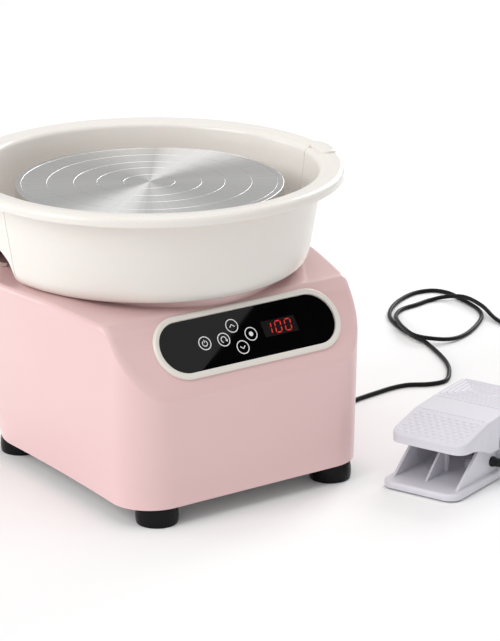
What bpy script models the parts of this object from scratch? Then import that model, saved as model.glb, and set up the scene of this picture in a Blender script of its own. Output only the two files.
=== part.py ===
"""Tabletop pottery wheel with a two-piece splash basin and a corded speed pedal.

Sizes are written in millimetres and turned into metres when a piece is made.
The spindle stands at x = y = 0 of the working frame, the floor is z = 0,
+X is the operator's right and -Y faces the operator.
"""
import math

import bmesh
import bpy
from mathutils import Matrix, Vector

MM = 0.001
GAP = 0.3                       # air between two pieces that touch
CENTRE = (-56.8, 52.2)          # puts the middle of the set's footprint at x = y = 0

# ---- wheel head and spindle -------------------------------------------------
HEAD_D = 280.0                  # 11 in turning disc
HEAD_T = 9.0
HEAD_GROOVES = (133.4, 106.7, 78.7, 54.6, 26.8)
SPINDLE_R = 10.0
HUB_R = 30.0

# ---- housing ----------------------------------------------------------------
FOOT_H = 20.0
FOOT_R = 22.2
FOOT_Y = (-170.0, 89.0)
WALL = 3.5
BODY_Z0 = FOOT_H - 0.4          # lower rim of the housing
FRONT_Y = -192.0
FRONT_HALF = 146.0              # half width across the front, at the bottom
CORNER_R = 44.5
DECK_Z = 215.0
LIP_Z = DECK_Z - 77.5           # where the front wall folds into the console
CONSOLE_Y = -142.0              # where the console meets the deck
CONSOLE_Z = DECK_Z - 10.0
DECK_FLAT_Y = -62.0             # the deck is level behind this line
BACK_Y = (132.0, 158.0)         # rear wall, bottom and top
BACK_R = (70.0, 100.0)
SIDE_HALF = (138.0, 178.0)      # widest half width, bottom and top
FOOT_X = (FRONT_HALF - 37.0, SIDE_HALF[0] - 29.0)
PEDESTAL_R = 142.0
PEDESTAL_Z = DECK_Z + 35.0
PEDESTAL_COLLAR = 12.0
HEAD_TOP = PEDESTAL_Z + 49.5

# ---- splash basin -----------------------------------------------------------
BASIN_T = 3.0
RIM_R = 202.5
RIM_Z = PEDESTAL_Z + 68.0
WALL_R = 180.0
BASIN_FOOT_R = 152.6
BASIN_FLOOR = PEDESTAL_Z + GAP
COLLAR_R = 46.0
SEAM = 12.5                     # the right-hand seam, degrees in front of the X axis

# ---- console panel ----------------------------------------------------------
PANEL_X = 7.6
PANEL_LEN = 228.0
PANEL_W = 68.0
GLASS_W = 54.6

# ---- drive ------------------------------------------------------------------
FRAME_TOP = DECK_Z - 12.0
FRAME_T = 3.0
MOTOR_R = 38.0
PULLEY_Z = (FRAME_TOP - 119.0, FRAME_TOP - 99.0)
PULLEY_R = 60.0
MOTOR_PULLEY_R = 15.0
MOTOR_Y = PULLEY_R + MOTOR_PULLEY_R + 11.0
BELT_T = 1.8

# ---- pedal ------------------------------------------------------------------
PEDAL_AT = (147.0, -268.0)      # middle of the toe edge on the floor
PEDAL_TURN = -70.0
PLATE_W = 92.0
PLATE_L = 104.0
PLATE_Z = (1.5, 9.0)
PEDAL_L = 166.0
TREADLE_W = 90.0
TREADLE_Y0 = 16.0
TREADLE_Z = ((16.0, 57.0), (66.0, 69.0), (105.0, 72.0), (166.0, 74.0))
HINGE_Y = 108.0
HINGE_Z = 36.0
SIDE_WALL_X = 38.0

CORD_D = 5.0
SOCKET_Y = -12.0
SOCKET_Z = FOOT_H + 26.0
SOCKET_PROUD = 7.2              # the socket's pad outside the wall

for old in list(bpy.data.objects):
    bpy.data.objects.remove(old)


# ---- materials --------------------------------------------------------------
def material(name, colour, rough, metal=0.0):
    mat = bpy.data.materials.new(name)
    mat.use_nodes = True
    shader = mat.node_tree.nodes["Principled BSDF"]
    shader.inputs["Base Color"].default_value = (*colour, 1.0)
    shader.inputs["Roughness"].default_value = rough
    shader.inputs["Metallic"].default_value = metal
    return mat


PINK = (0.82, 0.53, 0.52)
IVORY = (0.86, 0.82, 0.74)
COOL_WHITE = (0.74, 0.73, 0.80)
BLACK = (0.012, 0.012, 0.013)
STEEL = (0.50, 0.50, 0.50)
ZINC = (0.62, 0.62, 0.60)
ALU = (0.78, 0.78, 0.77)
PCB = (0.02, 0.16, 0.07)


# ---- mesh helpers -----------------------------------------------------------
def finish(name, bm, look, at=(0.0, 0.0, 0.0), turn=None, smooth=35.0):
    """Turn a bmesh in millimetres into a named object with its own material."""
    bmesh.ops.remove_doubles(bm, verts=bm.verts, dist=0.005)
    bmesh.ops.recalc_face_normals(bm, faces=bm.faces)
    bm.transform(Matrix.Scale(MM, 4))
    mesh = bpy.data.meshes.new(name)
    bm.to_mesh(mesh)
    bm.free()
    for face in mesh.polygons:
        face.use_smooth = True
    mesh.set_sharp_from_angle(angle=math.radians(smooth))
    obj = bpy.data.objects.new(name, mesh)
    bpy.context.scene.collection.objects.link(obj)
    obj.location = ((at[0] + CENTRE[0]) * MM, (at[1] + CENTRE[1]) * MM, at[2] * MM)
    if turn is not None:
        obj.rotation_euler = turn
    if look is not None:
        mesh.materials.append(material(name, *look))
    return obj


def lathe(profile, steps, arc=360.0, start=0.0):
    """Closed (r, z) outline turned about Z; a part turn gets flat end faces."""
    bm = bmesh.new()
    full = arc > 359.9
    rings = steps if full else steps + 1
    grid = []
    for i in range(rings):
        a = math.radians(start + arc * i / steps)
        grid.append([bm.verts.new((r * math.cos(a), r * math.sin(a), z)) for r, z in profile])
    count = len(profile)
    for i in range(steps):
        near = grid[i]
        far = grid[(i + 1) % rings]
        for j in range(count):
            k = (j + 1) % count
            if profile[j][0] < 1e-6 and profile[k][0] < 1e-6:
                continue
            bm.faces.new((near[j], far[j], far[k], near[k]))
    if not full:
        bm.faces.new(grid[0])
        bm.faces.new(list(reversed(grid[-1])))
    bmesh.ops.remove_doubles(bm, verts=bm.verts, dist=1e-4)
    return bm


def prism(outline, z0, z1):
    """Outline in XY raised from z0 to z1."""
    bm = bmesh.new()
    low = [bm.verts.new((x, y, z0)) for x, y in outline]
    top = [bm.verts.new((x, y, z1)) for x, y in outline]
    count = len(outline)
    for i in range(count):
        j = (i + 1) % count
        bm.faces.new((low[i], low[j], top[j], top[i]))
    bm.faces.new(list(reversed(low)))
    bm.faces.new(top)
    return bm


def loop_prism(outer, inner, z0, z1):
    """Band between two outlines of equal length, raised from z0 to z1."""
    bm = bmesh.new()
    rings = []
    for line, z in ((outer, z0), (outer, z1), (inner, z1), (inner, z0)):
        rings.append([bm.verts.new((x, y, z)) for x, y in line])
    count = len(outer)
    for k in range(4):
        a = rings[k]
        b = rings[(k + 1) % 4]
        for i in range(count):
            j = (i + 1) % count
            bm.faces.new((a[i], a[j], b[j], b[i]))
    return bm


def box(x0, x1, y0, y1, z0, z1):
    return prism(((x0, y0), (x1, y0), (x1, y1), (x0, y1)), z0, z1)


def round_rect(width, length, radius, steps=5, y0=None):
    """Rounded rectangle; centred unless y0 gives its lower edge."""
    base = -length / 2 if y0 is None else y0
    points = []
    half = width / 2 - radius
    for cx, cy, a0 in ((half, base + radius, -90), (half, base + length - radius, 0),
                       (-half, base + length - radius, 90), (-half, base + radius, 180)):
        for i in range(steps + 1):
            a = math.radians(a0 + 90 * i / steps)
            points.append((cx + radius * math.cos(a), cy + radius * math.sin(a)))
    return points


def stadium(half, radius, steps=10):
    points = []
    for cx, a0 in ((half, -90), (-half, 90)):
        for i in range(steps + 1):
            a = math.radians(a0 + 180 * i / steps)
            points.append((cx + radius * math.cos(a), radius * math.sin(a)))
    return points


def stadium_ring(half, section, steps=10):
    """Closed (distance, z) section carried round a stadium."""
    bm = bmesh.new()
    rings = []
    for radius, z in section:
        rings.append([bm.verts.new((x, y, z)) for x, y in stadium(half, radius, steps)])
    for k in range(len(rings)):
        a = rings[k]
        b = rings[(k + 1) % len(rings)]
        for i in range(len(a)):
            j = (i + 1) % len(a)
            bm.faces.new((a[i], a[j], b[j], b[i]))
    return bm


def circle(radius, steps, cx=0.0, cy=0.0, start=0.0):
    points = []
    for i in range(steps):
        a = math.radians(start) + 2 * math.pi * i / steps
        points.append((cx + radius * math.cos(a), cy + radius * math.sin(a)))
    return points


def along_x(outline, x0, x1):
    """Outline given in (y, z), carried from x0 to x1."""
    bm = prism(outline, x0, x1)
    turn = Matrix(((0, 0, 1, 0), (1, 0, 0, 0), (0, 1, 0, 0), (0, 0, 0, 1)))
    bm.transform(turn)
    return bm


def moved(bm, x=0.0, y=0.0, z=0.0):
    bm.transform(Matrix.Translation((x, y, z)))
    return bm


def cut_with(obj, tool, mode="DIFFERENCE"):
    """Boolean step; the tool shares the object's frame and stays hidden."""
    tool.hide_render = True
    tool.display_type = "WIRE"
    step = obj.modifiers.new(mode.title(), "BOOLEAN")
    step.operation = mode
    step.solver = "EXACT"
    step.object = tool


def tool(name, bm, like):
    """Cutting or joining shape placed in the frame of the object it works on."""
    obj = finish(name, bm, None)
    obj.location = like.location
    obj.rotation_euler = like.rotation_euler
    return obj


# ---- housing ----------------------------------------------------------------
def body_outline(level, inset):
    """Half-symmetric plan of the housing at its bottom (0) or deck (1)."""
    front = FRONT_HALF + (5.0 if level else 0.0)
    side = SIDE_HALF[level]
    back = BACK_Y[level]
    back_r = BACK_R[level]
    half = []
    for i in range(8):
        a = math.radians(-90 + 90 * i / 7)
        half.append((front - CORNER_R + CORNER_R * math.cos(a),
                     FRONT_Y + CORNER_R + CORNER_R * math.sin(a)))
    y0 = FRONT_Y + CORNER_R
    y1 = back - back_r
    for i in range(1, 5):
        t = i / 5
        half.append((front + (side - front) * (1 - (1 - t) ** 2), y0 + (y1 - y0) * t))
    for i in range(9):
        a = math.radians(90 * i / 8)
        half.append((side - back_r + back_r * math.cos(a), y1 + back_r * math.sin(a)))
    ring = half + [(-x, y) for x, y in reversed(half)]
    if inset == 0.0:
        return ring
    shifted = []
    count = len(ring)
    for i in range(count):
        before = Vector(ring[i - 1])
        here = Vector(ring[i])
        after = Vector(ring[(i + 1) % count])
        way = (after - before).normalized()
        normal = Vector((-way.y, way.x))
        shifted.append(tuple(here + normal * inset))
    return shifted


def wall_x(y, z):
    """Half width of the housing's side wall at a point of its height."""
    widths = []
    for level in (0, 1):
        front = FRONT_HALF + (5.0 if level else 0.0)
        y0 = FRONT_Y + CORNER_R
        t = (y - y0) / (BACK_Y[level] - BACK_R[level] - y0)
        widths.append(front + (SIDE_HALF[level] - front) * (1 - (1 - t) ** 2))
    share = (z - BODY_Z0) / (DECK_Z - BODY_Z0)
    return widths[0] + (widths[1] - widths[0]) * share


SOCKET_X = float(round(wall_x(SOCKET_Y, SOCKET_Z) + SOCKET_PROUD))


def cut_plane(bm, point, normal, soften):
    """Slice off everything on the normal's side and cap the cut."""
    cut = bmesh.ops.bisect_plane(bm, geom=bm.verts[:] + bm.edges[:] + bm.faces[:],
                                 plane_co=point, plane_no=normal, clear_outer=True)
    edges = [e for e in cut["geom_cut"] if isinstance(e, bmesh.types.BMEdge)]
    bmesh.ops.contextual_create(bm, geom=edges)
    bmesh.ops.recalc_face_normals(bm, faces=bm.faces)


def body_solid(inset, z0):
    """Housing envelope, or the hollow inside it when inset is the wall."""
    z_top = DECK_Z + 12.0
    low = body_outline(0, inset)
    deck = body_outline(1, inset)
    bm = bmesh.new()
    rings = []
    for step in range(4):
        z = z0 + (z_top - z0) * step / 3
        share = (z - BODY_Z0) / (DECK_Z - BODY_Z0)
        rings.append([bm.verts.new((xa + (xb - xa) * share, ya + (yb - ya) * share, z))
                      for (xa, ya), (xb, yb) in zip(low, deck)])
    count = len(low)
    for ring_a, ring_b in zip(rings, rings[1:]):
        for i in range(count):
            j = (i + 1) % count
            if i < count // 2:
                bm.faces.new((ring_a[i], ring_a[j], ring_b[j]))
                bm.faces.new((ring_a[i], ring_b[j], ring_b[i]))
            else:
                bm.faces.new((ring_a[i], ring_a[j], ring_b[i]))
                bm.faces.new((ring_a[j], ring_b[j], ring_b[i]))
    bm.faces.new(list(reversed(rings[0])))
    bm.faces.new(rings[-1])
    run = Vector((0, CONSOLE_Y - FRONT_Y, CONSOLE_Z - LIP_Z)).normalized()
    console_n = Vector((0, -run.z, run.y))
    console_p = Vector((0, CONSOLE_Y, CONSOLE_Z)) - console_n * inset
    climb = Vector((0, DECK_FLAT_Y - CONSOLE_Y, DECK_Z - CONSOLE_Z)).normalized()
    climb_n = Vector((0, -climb.z, climb.y))
    climb_p = Vector((0, CONSOLE_Y, CONSOLE_Z)) - climb_n * inset
    cut_plane(bm, Vector((0, 0, DECK_Z - inset)), Vector((0, 0, 1)), inset == 0.0)
    cut_plane(bm, climb_p, climb_n, False)
    cut_plane(bm, console_p, console_n, False)
    return bm, console_n


outer, CONSOLE_N = body_solid(0.0, BODY_Z0)
soft = []
for edge in outer.edges:
    if len(edge.link_faces) != 2:
        continue
    angle = edge.calc_face_angle(0.0)
    if math.degrees(angle) > 25.0 and min(v.co.z for v in edge.verts) > BODY_Z0 + 1.0:
        soft.append(edge)
bmesh.ops.bevel(outer, geom=soft, offset=4.0, offset_type="OFFSET", segments=2,
                profile=0.5, affect="EDGES", clamp_overlap=True)
housing = finish("housing", outer, (PINK, 0.38), smooth=30)

pedestal = lathe(((0, DECK_Z - 20), (PEDESTAL_R, DECK_Z - 20), (PEDESTAL_R, PEDESTAL_Z - 2.5),
                  (PEDESTAL_R - 0.8, PEDESTAL_Z - 0.8), (PEDESTAL_R - 2.5, PEDESTAL_Z),
                  (43.0, PEDESTAL_Z), (43.0, PEDESTAL_Z + PEDESTAL_COLLAR),
                  (0, PEDESTAL_Z + PEDESTAL_COLLAR)), 40)
cut_with(housing, tool("pedestal_form", pedestal, housing), "UNION")
pad = box(SOCKET_X - 21.0, SOCKET_X, SOCKET_Y - 18, SOCKET_Y + 18, SOCKET_Z - 16, SOCKET_Z + 16)
cut_with(housing, tool("socket_pad_form", pad, housing), "UNION")
void, _ = body_solid(WALL, BODY_Z0 - 8.0)
cut_with(housing, tool("inner_void", void, housing))
pedestal_void = lathe(((0, DECK_Z - 24), (PEDESTAL_R - WALL, DECK_Z - 24),
                       (PEDESTAL_R - WALL, PEDESTAL_Z - WALL), (40.0, PEDESTAL_Z - WALL),
                       (40.0, PEDESTAL_Z + 20), (0, PEDESTAL_Z + 20)), 36)
cut_with(housing, tool("pedestal_void", pedestal_void, housing))

# Four hollow bosses take the foot screws; a rib ties each one to the wall.
for i, (sx, fy) in enumerate(((-1, 0), (1, 0), (-1, 1), (1, 1))):
    bx = sx * FOOT_X[fy]
    by = FOOT_Y[fy]
    boss = prism(circle(8.0, 20, bx, by), BODY_Z0 + 3.1, BODY_Z0 + 32.4)
    cut_with(housing, tool("boss_form_%d" % i, boss, housing), "UNION")
    if fy == 0:
        rib = box(bx - 2, bx + 2, FRONT_Y + 1.5, by - 5, BODY_Z0 + 3.1,
                  BODY_Z0 + 30.4)
    else:
        edge_x = sx * (SIDE_HALF[0] - 6.8)
        rib = box(min(bx + sx * 5, edge_x), max(bx + sx * 5, edge_x), by - 2, by + 2,
                  BODY_Z0 + 3.1, BODY_Z0 + 14.4)
    cut_with(housing, tool("rib_form_%d" % i, rib, housing), "UNION")
    bore = prism(circle(2.6, 16, bx, by), BODY_Z0 + 1.0, BODY_Z0 + 26.4)
    cut_with(housing, tool("boss_bore_%d" % i, bore, housing))

# Console frame: local X across, local Y up the slope, local Z out of it.
SLOPE = math.atan2(CONSOLE_Z - LIP_Z, CONSOLE_Y - FRONT_Y)
CONSOLE_TURN = (SLOPE, 0.0, 0.0)
DOWN = Vector((0, FRONT_Y - CONSOLE_Y, LIP_Z - CONSOLE_Z)).normalized()
PANEL_AT = Vector((PANEL_X, CONSOLE_Y, CONSOLE_Z)) + DOWN * 37.3
PANEL_HALF = (PANEL_LEN - PANEL_W) / 2
SLOT_R = PANEL_W / 2 - 3.8


def panel_piece(name, bm, look, dx=0.0, dy=0.0, smooth=35.0):
    spot = PANEL_AT + Vector((dx, 0, 0)) - DOWN * dy
    return finish(name, bm, look, tuple(spot), CONSOLE_TURN, smooth)


slot = panel_piece("panel_slot", prism(stadium(PANEL_HALF, SLOT_R, 10), -9.0, 9.0), None)
cut_with(housing, slot)

# Rear wall frame: local Z out of the wall, local Y up it.
LEAN = math.atan2(BACK_Y[1] - BACK_Y[0], DECK_Z - BODY_Z0)
REAR_TURN = Matrix(((-1, 0, 0), (0, math.sin(LEAN), math.cos(LEAN)),
                    (0, math.cos(LEAN), -math.sin(LEAN)))).to_euler()


def rear_piece(name, bm, look, x, z, smooth=35.0):
    share = (z - BODY_Z0) / (DECK_Z - BODY_Z0)
    y = BACK_Y[0] + (BACK_Y[1] - BACK_Y[0]) * share
    return finish(name, bm, look, (x, y, z), REAR_TURN, smooth)


REAR_Z = BODY_Z0 + 42.4
INLET = (-38.0, REAR_Z)
SWITCH = (8.0, REAR_Z)
FUSE = (44.0, REAR_Z)
cut_with(housing, rear_piece("inlet_slot", box(-14.3, 14.3, -10.8, 10.8, -12, 8), None, *INLET))
cut_with(housing, rear_piece("switch_slot", box(-10.3, 10.3, -14.3, 14.3, -12, 8), None, *SWITCH))
cut_with(housing, rear_piece("fuse_slot", prism(circle(6.6, 20), -12, 8), None, *FUSE))
hole = along_x(circle(7.4, 20, SOCKET_Y, SOCKET_Z), SOCKET_X - 31, SOCKET_X + 9)
cut_with(housing, tool("socket_hole", hole, housing))

# ---- base plate, feet and their screws --------------------------------------
sheet = []
for xy in body_outline(0, WALL + 1.2):
    sheet.append(xy)
base_plate = finish("base_plate", prism(sheet, BODY_Z0 + 0.6, BODY_Z0 + 2.6), (ZINC, 0.4, 0.9))
for i, (sx, fy) in enumerate(((-1, 0), (1, 0), (-1, 1), (1, 1))):
    hole = prism(circle(2.8, 16, sx * FOOT_X[fy], FOOT_Y[fy]), BODY_Z0 - 2, BODY_Z0 + 5)
    cut_with(base_plate, tool("plate_hole_%d" % i, hole, base_plate))
for i in range(3):
    vent = prism(round_rect(90.0, 5.0, 2.4, 2), BODY_Z0 - 2, BODY_Z0 + 5)
    cut_with(base_plate, tool("plate_vent_%d" % i, moved(vent, 0, 92.0 - 11 * i), base_plate))

FOOT_TOP = BODY_Z0 + 0.6 - GAP
CORNERS = ((-1, 0, "front_left"), (1, 0, "front_right"), (-1, 1, "rear_left"), (1, 1, "rear_right"))
for sx, fy, word in CORNERS:
    spot = (sx * FOOT_X[fy], FOOT_Y[fy], 0.0)
    foot = lathe(((5.6, 0), (FOOT_R - 2.6, 0), (FOOT_R - 0.8, 2.0), (FOOT_R, 8.0),
                  (FOOT_R - 1.6, BODY_Z0 - GAP), (12.0, BODY_Z0 - GAP), (12.0, FOOT_TOP),
                  (2.7, FOOT_TOP), (2.7, FOOT_H - 8.5), (5.6, FOOT_H - 8.5)), 20)
    finish("foot_" + word, foot, (BLACK, 0.35), spot)
    seat = FOOT_H - 8.5 - GAP
    tip = BODY_Z0 + 26.4 - 0.6
    screw = lathe(((0, seat - 2.0), (1.6, seat - 3.4), (5.0, seat - 3.4), (5.0, seat),
                   (2.3, seat), (2.3, tip), (0, tip)), 12)
    finish("foot_screw_" + word, screw, (ZINC, 0.3, 1.0), spot)

# ---- console panel ----------------------------------------------------------
flange = PANEL_W / 2
rim = ((flange, GAP), (flange, 1.8), (flange - 0.8, 3.1), (flange - 2.4, 3.7),
       (flange - 4.6, 3.3), (GLASS_W / 2 + GAP, 1.9), (GLASS_W / 2 + GAP, -1.5),
       (GLASS_W / 2 - 3.7, -1.5), (GLASS_W / 2 - 3.7, -4.5), (SLOT_R - GAP, -4.5),
       (SLOT_R - GAP, GAP))
bezel = panel_piece("panel_bezel", stadium_ring(PANEL_HALF, rim, 10), (IVORY, 0.35), smooth=50)
for i, (sx, sy) in enumerate(((-1, -1), (1, -1), (-1, 1), (1, 1))):
    post = prism(circle(2.6, 12, sx * (PANEL_HALF - 7.75), sy * (SLOT_R - 3.8)), -10.1, -3.0)
    cut_with(bezel, tool("bezel_post_%d" % i, post, bezel), "UNION")
panel_piece("panel_glass", prism(stadium(PANEL_HALF, GLASS_W / 2, 10), -1.2, 1.2), (BLACK, 0.06))
board = panel_piece("control_board", prism(round_rect(PANEL_LEN - 37.5, PANEL_W - 12.0, 4.0, 3),
                                          -12.0, -10.4), (PCB, 0.5))
chip = box(-60.0, -46.0, -7.0, 7.0, -13.6, -11.5)
cut_with(board, tool("chip_form", chip, board), "UNION")
header = box(-20.0, 4.0, -24.0, -16.0, -20.0, -11.5)
cut_with(board, tool("header_form", header, board), "UNION")
panel_piece("display_module", box(-21.5, 21.5, -9.5, 9.5, -10.1, -1.6), (BLACK, 0.3),
            PANEL_HALF - 40.45, 0.6)

# ---- steel drive frame and bearings -----------------------------------------
LEG_X = 96.0
leg = BODY_Z0 + 3.0
frame_line = ((-LEG_X - 18, leg), (-LEG_X, leg), (-LEG_X, FRAME_TOP - FRAME_T),
              (LEG_X, FRAME_TOP - FRAME_T), (LEG_X, leg), (LEG_X + 18, leg),
              (LEG_X + 18, leg + FRAME_T), (LEG_X + FRAME_T, leg + FRAME_T),
              (LEG_X + FRAME_T, FRAME_TOP), (-LEG_X - FRAME_T, FRAME_TOP),
              (-LEG_X - FRAME_T, leg + FRAME_T), (-LEG_X - 18, leg + FRAME_T))
channel = prism(frame_line, -60.0, 132.0)
channel.transform(Matrix(((1, 0, 0, 0), (0, 0, 1, 0), (0, 1, 0, 0), (0, 0, 0, 1))))
for vert in channel.verts:
    if vert.co.y > 0 and vert.co.z < leg + 2 * FRAME_T:
        vert.co.y = 80.0
frame = finish("drive_frame", channel, (STEEL, 0.45, 0.9))
cut_with(frame, tool("frame_bore", prism(circle(30.6, 32), FRAME_TOP - 13, FRAME_TOP + 7), frame))
bore = prism(circle(10.6, 20, 0, MOTOR_Y), FRAME_TOP - 13, FRAME_TOP + 7)
cut_with(frame, tool("frame_motor_bore", bore, frame))

flange_z = FRAME_TOP + 8.0
top_seat = PEDESTAL_Z - 24.0
low_seat = FRAME_TOP - 31.0
housing_line = ((19.0, low_seat), (19.0, top_seat), (23.8, top_seat), (23.8, top_seat + 17),
                (30.0, top_seat + 17), (30.3, top_seat + 16.5), (30.3, flange_z), (52.0, flange_z),
                (52.0, FRAME_TOP + GAP), (30.3, FRAME_TOP + GAP), (30.3, low_seat - 17),
                (23.8, low_seat - 17), (23.8, low_seat))
bearing_housing = finish("bearing_housing", lathe(housing_line, 22), (ALU, 0.5, 0.8))
bearing = ((10.3, -7), (14.0, -7), (14.0, -6.2), (20.0, -6.2), (20.0, -7), (23.5, -7),
           (23.5, 7), (10.3, 7))
finish("upper_bearing", lathe(bearing, 20), (STEEL, 0.25, 1.0), (0, 0, top_seat + 7.6))
finish("lower_bearing", lathe(bearing, 20), (STEEL, 0.25, 1.0), (0, 0, low_seat - 7.6))
for i in range(4):
    a = math.radians(45 + 90 * i)
    spot = (41.0 * math.cos(a), 41.0 * math.sin(a), 0.0)
    well = prism(circle(3.4, 12, spot[0], spot[1]), FRAME_TOP - 13, FRAME_TOP + 17)
    cut_with(bearing_housing, tool("flange_hole_%d" % i, well, bearing_housing))
    well = prism(circle(3.4, 12, spot[0], spot[1]), FRAME_TOP - 13, FRAME_TOP + 17)
    cut_with(frame, tool("frame_hole_%d" % i, well, frame))
    head_z = flange_z + GAP
    bolt = lathe(((0, head_z + 5), (5.2, head_z + 5), (5.8, head_z + 4.4), (5.8, head_z),
                  (3.0, head_z), (3.0, FRAME_TOP - 11), (0, FRAME_TOP - 11)), 12)
    finish("frame_bolt_%d" % (i + 1), bolt, (ZINC, 0.3, 1.0), spot)

# ---- spindle, head and pulleys ----------------------------------------------
foot_z = PULLEY_Z[0] - 18.0
bore_top = HEAD_TOP - HEAD_T - 0.5
spindle_line = ((0, foot_z), (SPINDLE_R - 1, foot_z), (SPINDLE_R, foot_z + 1),
                (SPINDLE_R, bore_top - GAP - 1), (SPINDLE_R - 1, bore_top - GAP),
                (0, bore_top - GAP))
HUB_Z = PEDESTAL_Z + PEDESTAL_COLLAR + 2.0
SCREW_Z = HUB_Z + 10.0
finish("spindle", lathe(spindle_line, 20), (STEEL, 0.22, 1.0))
half = HEAD_D / 2
head_line = [(0, HEAD_TOP)]
for groove in reversed(HEAD_GROOVES):
    head_line += [(groove - 0.7, HEAD_TOP), (groove, HEAD_TOP - 0.7), (groove + 0.7, HEAD_TOP)]
head_line += [(half - 0.8, HEAD_TOP), (half, HEAD_TOP - 0.8), (half, HEAD_TOP - 11.2),
              (half - 0.8, HEAD_TOP - 12.0), (half - 5.0, HEAD_TOP - 12.0),
              (half - 7.0, HEAD_TOP - HEAD_T + 1.0), (HUB_R + 4, HEAD_TOP - HEAD_T + 1.0),
              (HUB_R, HEAD_TOP - HEAD_T - 3.0), (HUB_R, HUB_Z), (SPINDLE_R + GAP, HUB_Z),
              (SPINDLE_R + GAP, bore_top), (0, bore_top)]
wheel_head = finish("wheel_head", lathe(head_line, 40), (ALU, 0.3, 1.0), smooth=25)
for i, sx in enumerate((-1, 1)):
    bore = along_x(circle(3.3, 14, 0.0, SCREW_Z), min(0, sx * 40.0), max(0, sx * 40.0))
    cut_with(wheel_head, tool("set_screw_bore_%d" % i, bore, wheel_head))
    x0 = SPINDLE_R + GAP
    pin = along_x(circle(3.0, 14, 0.0, 0.0), min(sx * x0, sx * 26.0), max(sx * x0, sx * 26.0))
    finish("head_set_screw_%d" % (i + 1), pin, (STEEL, 0.3, 1.0), (0, 0, SCREW_Z))

z0, z1 = PULLEY_Z
mid = (z0 + z1) / 2
pulley_line = ((SPINDLE_R + GAP, z0), (22, z0), (22, mid - 3), (PULLEY_R - 7, mid - 3),
               (PULLEY_R - 7, z0), (PULLEY_R + 3, z0), (PULLEY_R + 3, z0 + 2), (PULLEY_R, z0 + 2.6),
               (PULLEY_R, z1 - 2.6), (PULLEY_R + 3, z1 - 2), (PULLEY_R + 3, z1),
               (PULLEY_R - 7, z1), (PULLEY_R - 7, mid + 3), (22, mid + 3), (22, z1),
               (SPINDLE_R + GAP, z1))
finish("spindle_pulley", lathe(pulley_line, 26), (BLACK, 0.4))
nut = prism(circle(17.0, 6), z0 - 12.0, z0 - GAP)
lock_nut = finish("spindle_nut", nut, (ZINC, 0.3, 1.0))
cut_with(lock_nut, tool("nut_bore", prism(circle(SPINDLE_R + GAP, 20), z0 - 24, z0 + 16), lock_nut))

# ---- motor ------------------------------------------------------------------
motor_z = z1 + 6.0
cap_z = FRAME_TOP - 18.0
motor_line = ((0, motor_z + 12), (5.6, motor_z + 12), (5.6, motor_z), (15, motor_z),
              (15, motor_z + 3), (MOTOR_R - 2, motor_z + 3), (MOTOR_R - 2, motor_z + 16),
              (MOTOR_R, motor_z + 17), (MOTOR_R, cap_z - 1), (MOTOR_R - 2, cap_z),
              (MOTOR_R - 2, FRAME_TOP - FRAME_T - GAP), (0, FRAME_TOP - FRAME_T - GAP))
finish("motor", lathe(motor_line, 24), (BLACK, 0.35, 0.5), (0, MOTOR_Y, 0))
shaft_line = ((0, z0 - 6), (4.4, z0 - 6), (5.0, z0 - 5.4), (5.0, motor_z + 11.6),
              (0, motor_z + 11.6))
finish("motor_shaft", lathe(shaft_line, 18), (STEEL, 0.22, 1.0), (0, MOTOR_Y, 0))
small_line = ((5.3, z0), (MOTOR_PULLEY_R + 3, z0), (MOTOR_PULLEY_R + 3, z0 + 2),
              (MOTOR_PULLEY_R, z0 + 2.6), (MOTOR_PULLEY_R, z1 - 2.6),
              (MOTOR_PULLEY_R + 3, z1 - 2), (MOTOR_PULLEY_R + 3, z1), (5.3, z1))
finish("motor_pulley", lathe(small_line, 18), (ZINC, 0.3, 1.0), (0, MOTOR_Y, 0))


def belt_line(extra):
    """Outline of a belt run round both pulleys at a distance from their rims."""
    lean = math.asin((PULLEY_R - MOTOR_PULLEY_R) / MOTOR_Y)
    points = []
    for i in range(25):
        a = math.pi - lean + (math.pi + 2 * lean) * i / 24
        points.append(((PULLEY_R + extra) * math.cos(a), (PULLEY_R + extra) * math.sin(a)))
    for i in range(13):
        a = lean + (math.pi - 2 * lean) * i / 12
        points.append(((MOTOR_PULLEY_R + extra) * math.cos(a),
                       MOTOR_Y + (MOTOR_PULLEY_R + extra) * math.sin(a)))
    return points


belt = loop_prism(belt_line(GAP + BELT_T), belt_line(GAP), z0 + 3.5, z1 - 3.5)
finish("drive_belt", belt, (BLACK, 0.7))

# ---- power electronics on the base plate ------------------------------------
board_z = BODY_Z0 + 11.4
power = finish("power_board", box(-60, 60, -150, -70, board_z, board_z + 1.6), (PCB, 0.5))
blocks = ((-50, -26, -140, -112, 27.0), (-16, 6, -142, -122, 19.0),
          (-50, -38, -100, -80, 16.0), (40, 54, -142, -128, 13.0))
for i, (x0, x1, y0, y1, rise) in enumerate(blocks):
    block = box(x0, x1, y0, y1, board_z + 0.5, board_z + rise)
    cut_with(power, tool("power_block_%d" % i, block, power), "UNION")
for i, (px, py) in enumerate(((-56, -146), (56, -146), (-56, -74), (56, -74))):
    leg = prism(circle(2.5, 10, px, py), BODY_Z0 + 2.6 + GAP, board_z + 0.8)
    cut_with(power, tool("board_leg_%d" % i, leg, power), "UNION")
sink_z = board_z + 2.0
comb = [(10.0, sink_z), (34.0, sink_z)]
for i in range(5):
    x = 34.0 - 5.4 * i
    comb += [(x, sink_z + 29), (x - 2.2, sink_z + 29)]
    if i < 4:
        comb += [(x - 2.2, sink_z + 4), (x - 5.4, sink_z + 4)]
comb[-1] = (10.0, sink_z + 29)
sink = prism(comb, -112.0, -76.0)
sink.transform(Matrix(((1, 0, 0, 0), (0, 0, 1, 0), (0, 1, 0, 0), (0, 0, 0, 1))))
finish("heat_sink", sink, (ALU, 0.4, 0.9))

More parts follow.
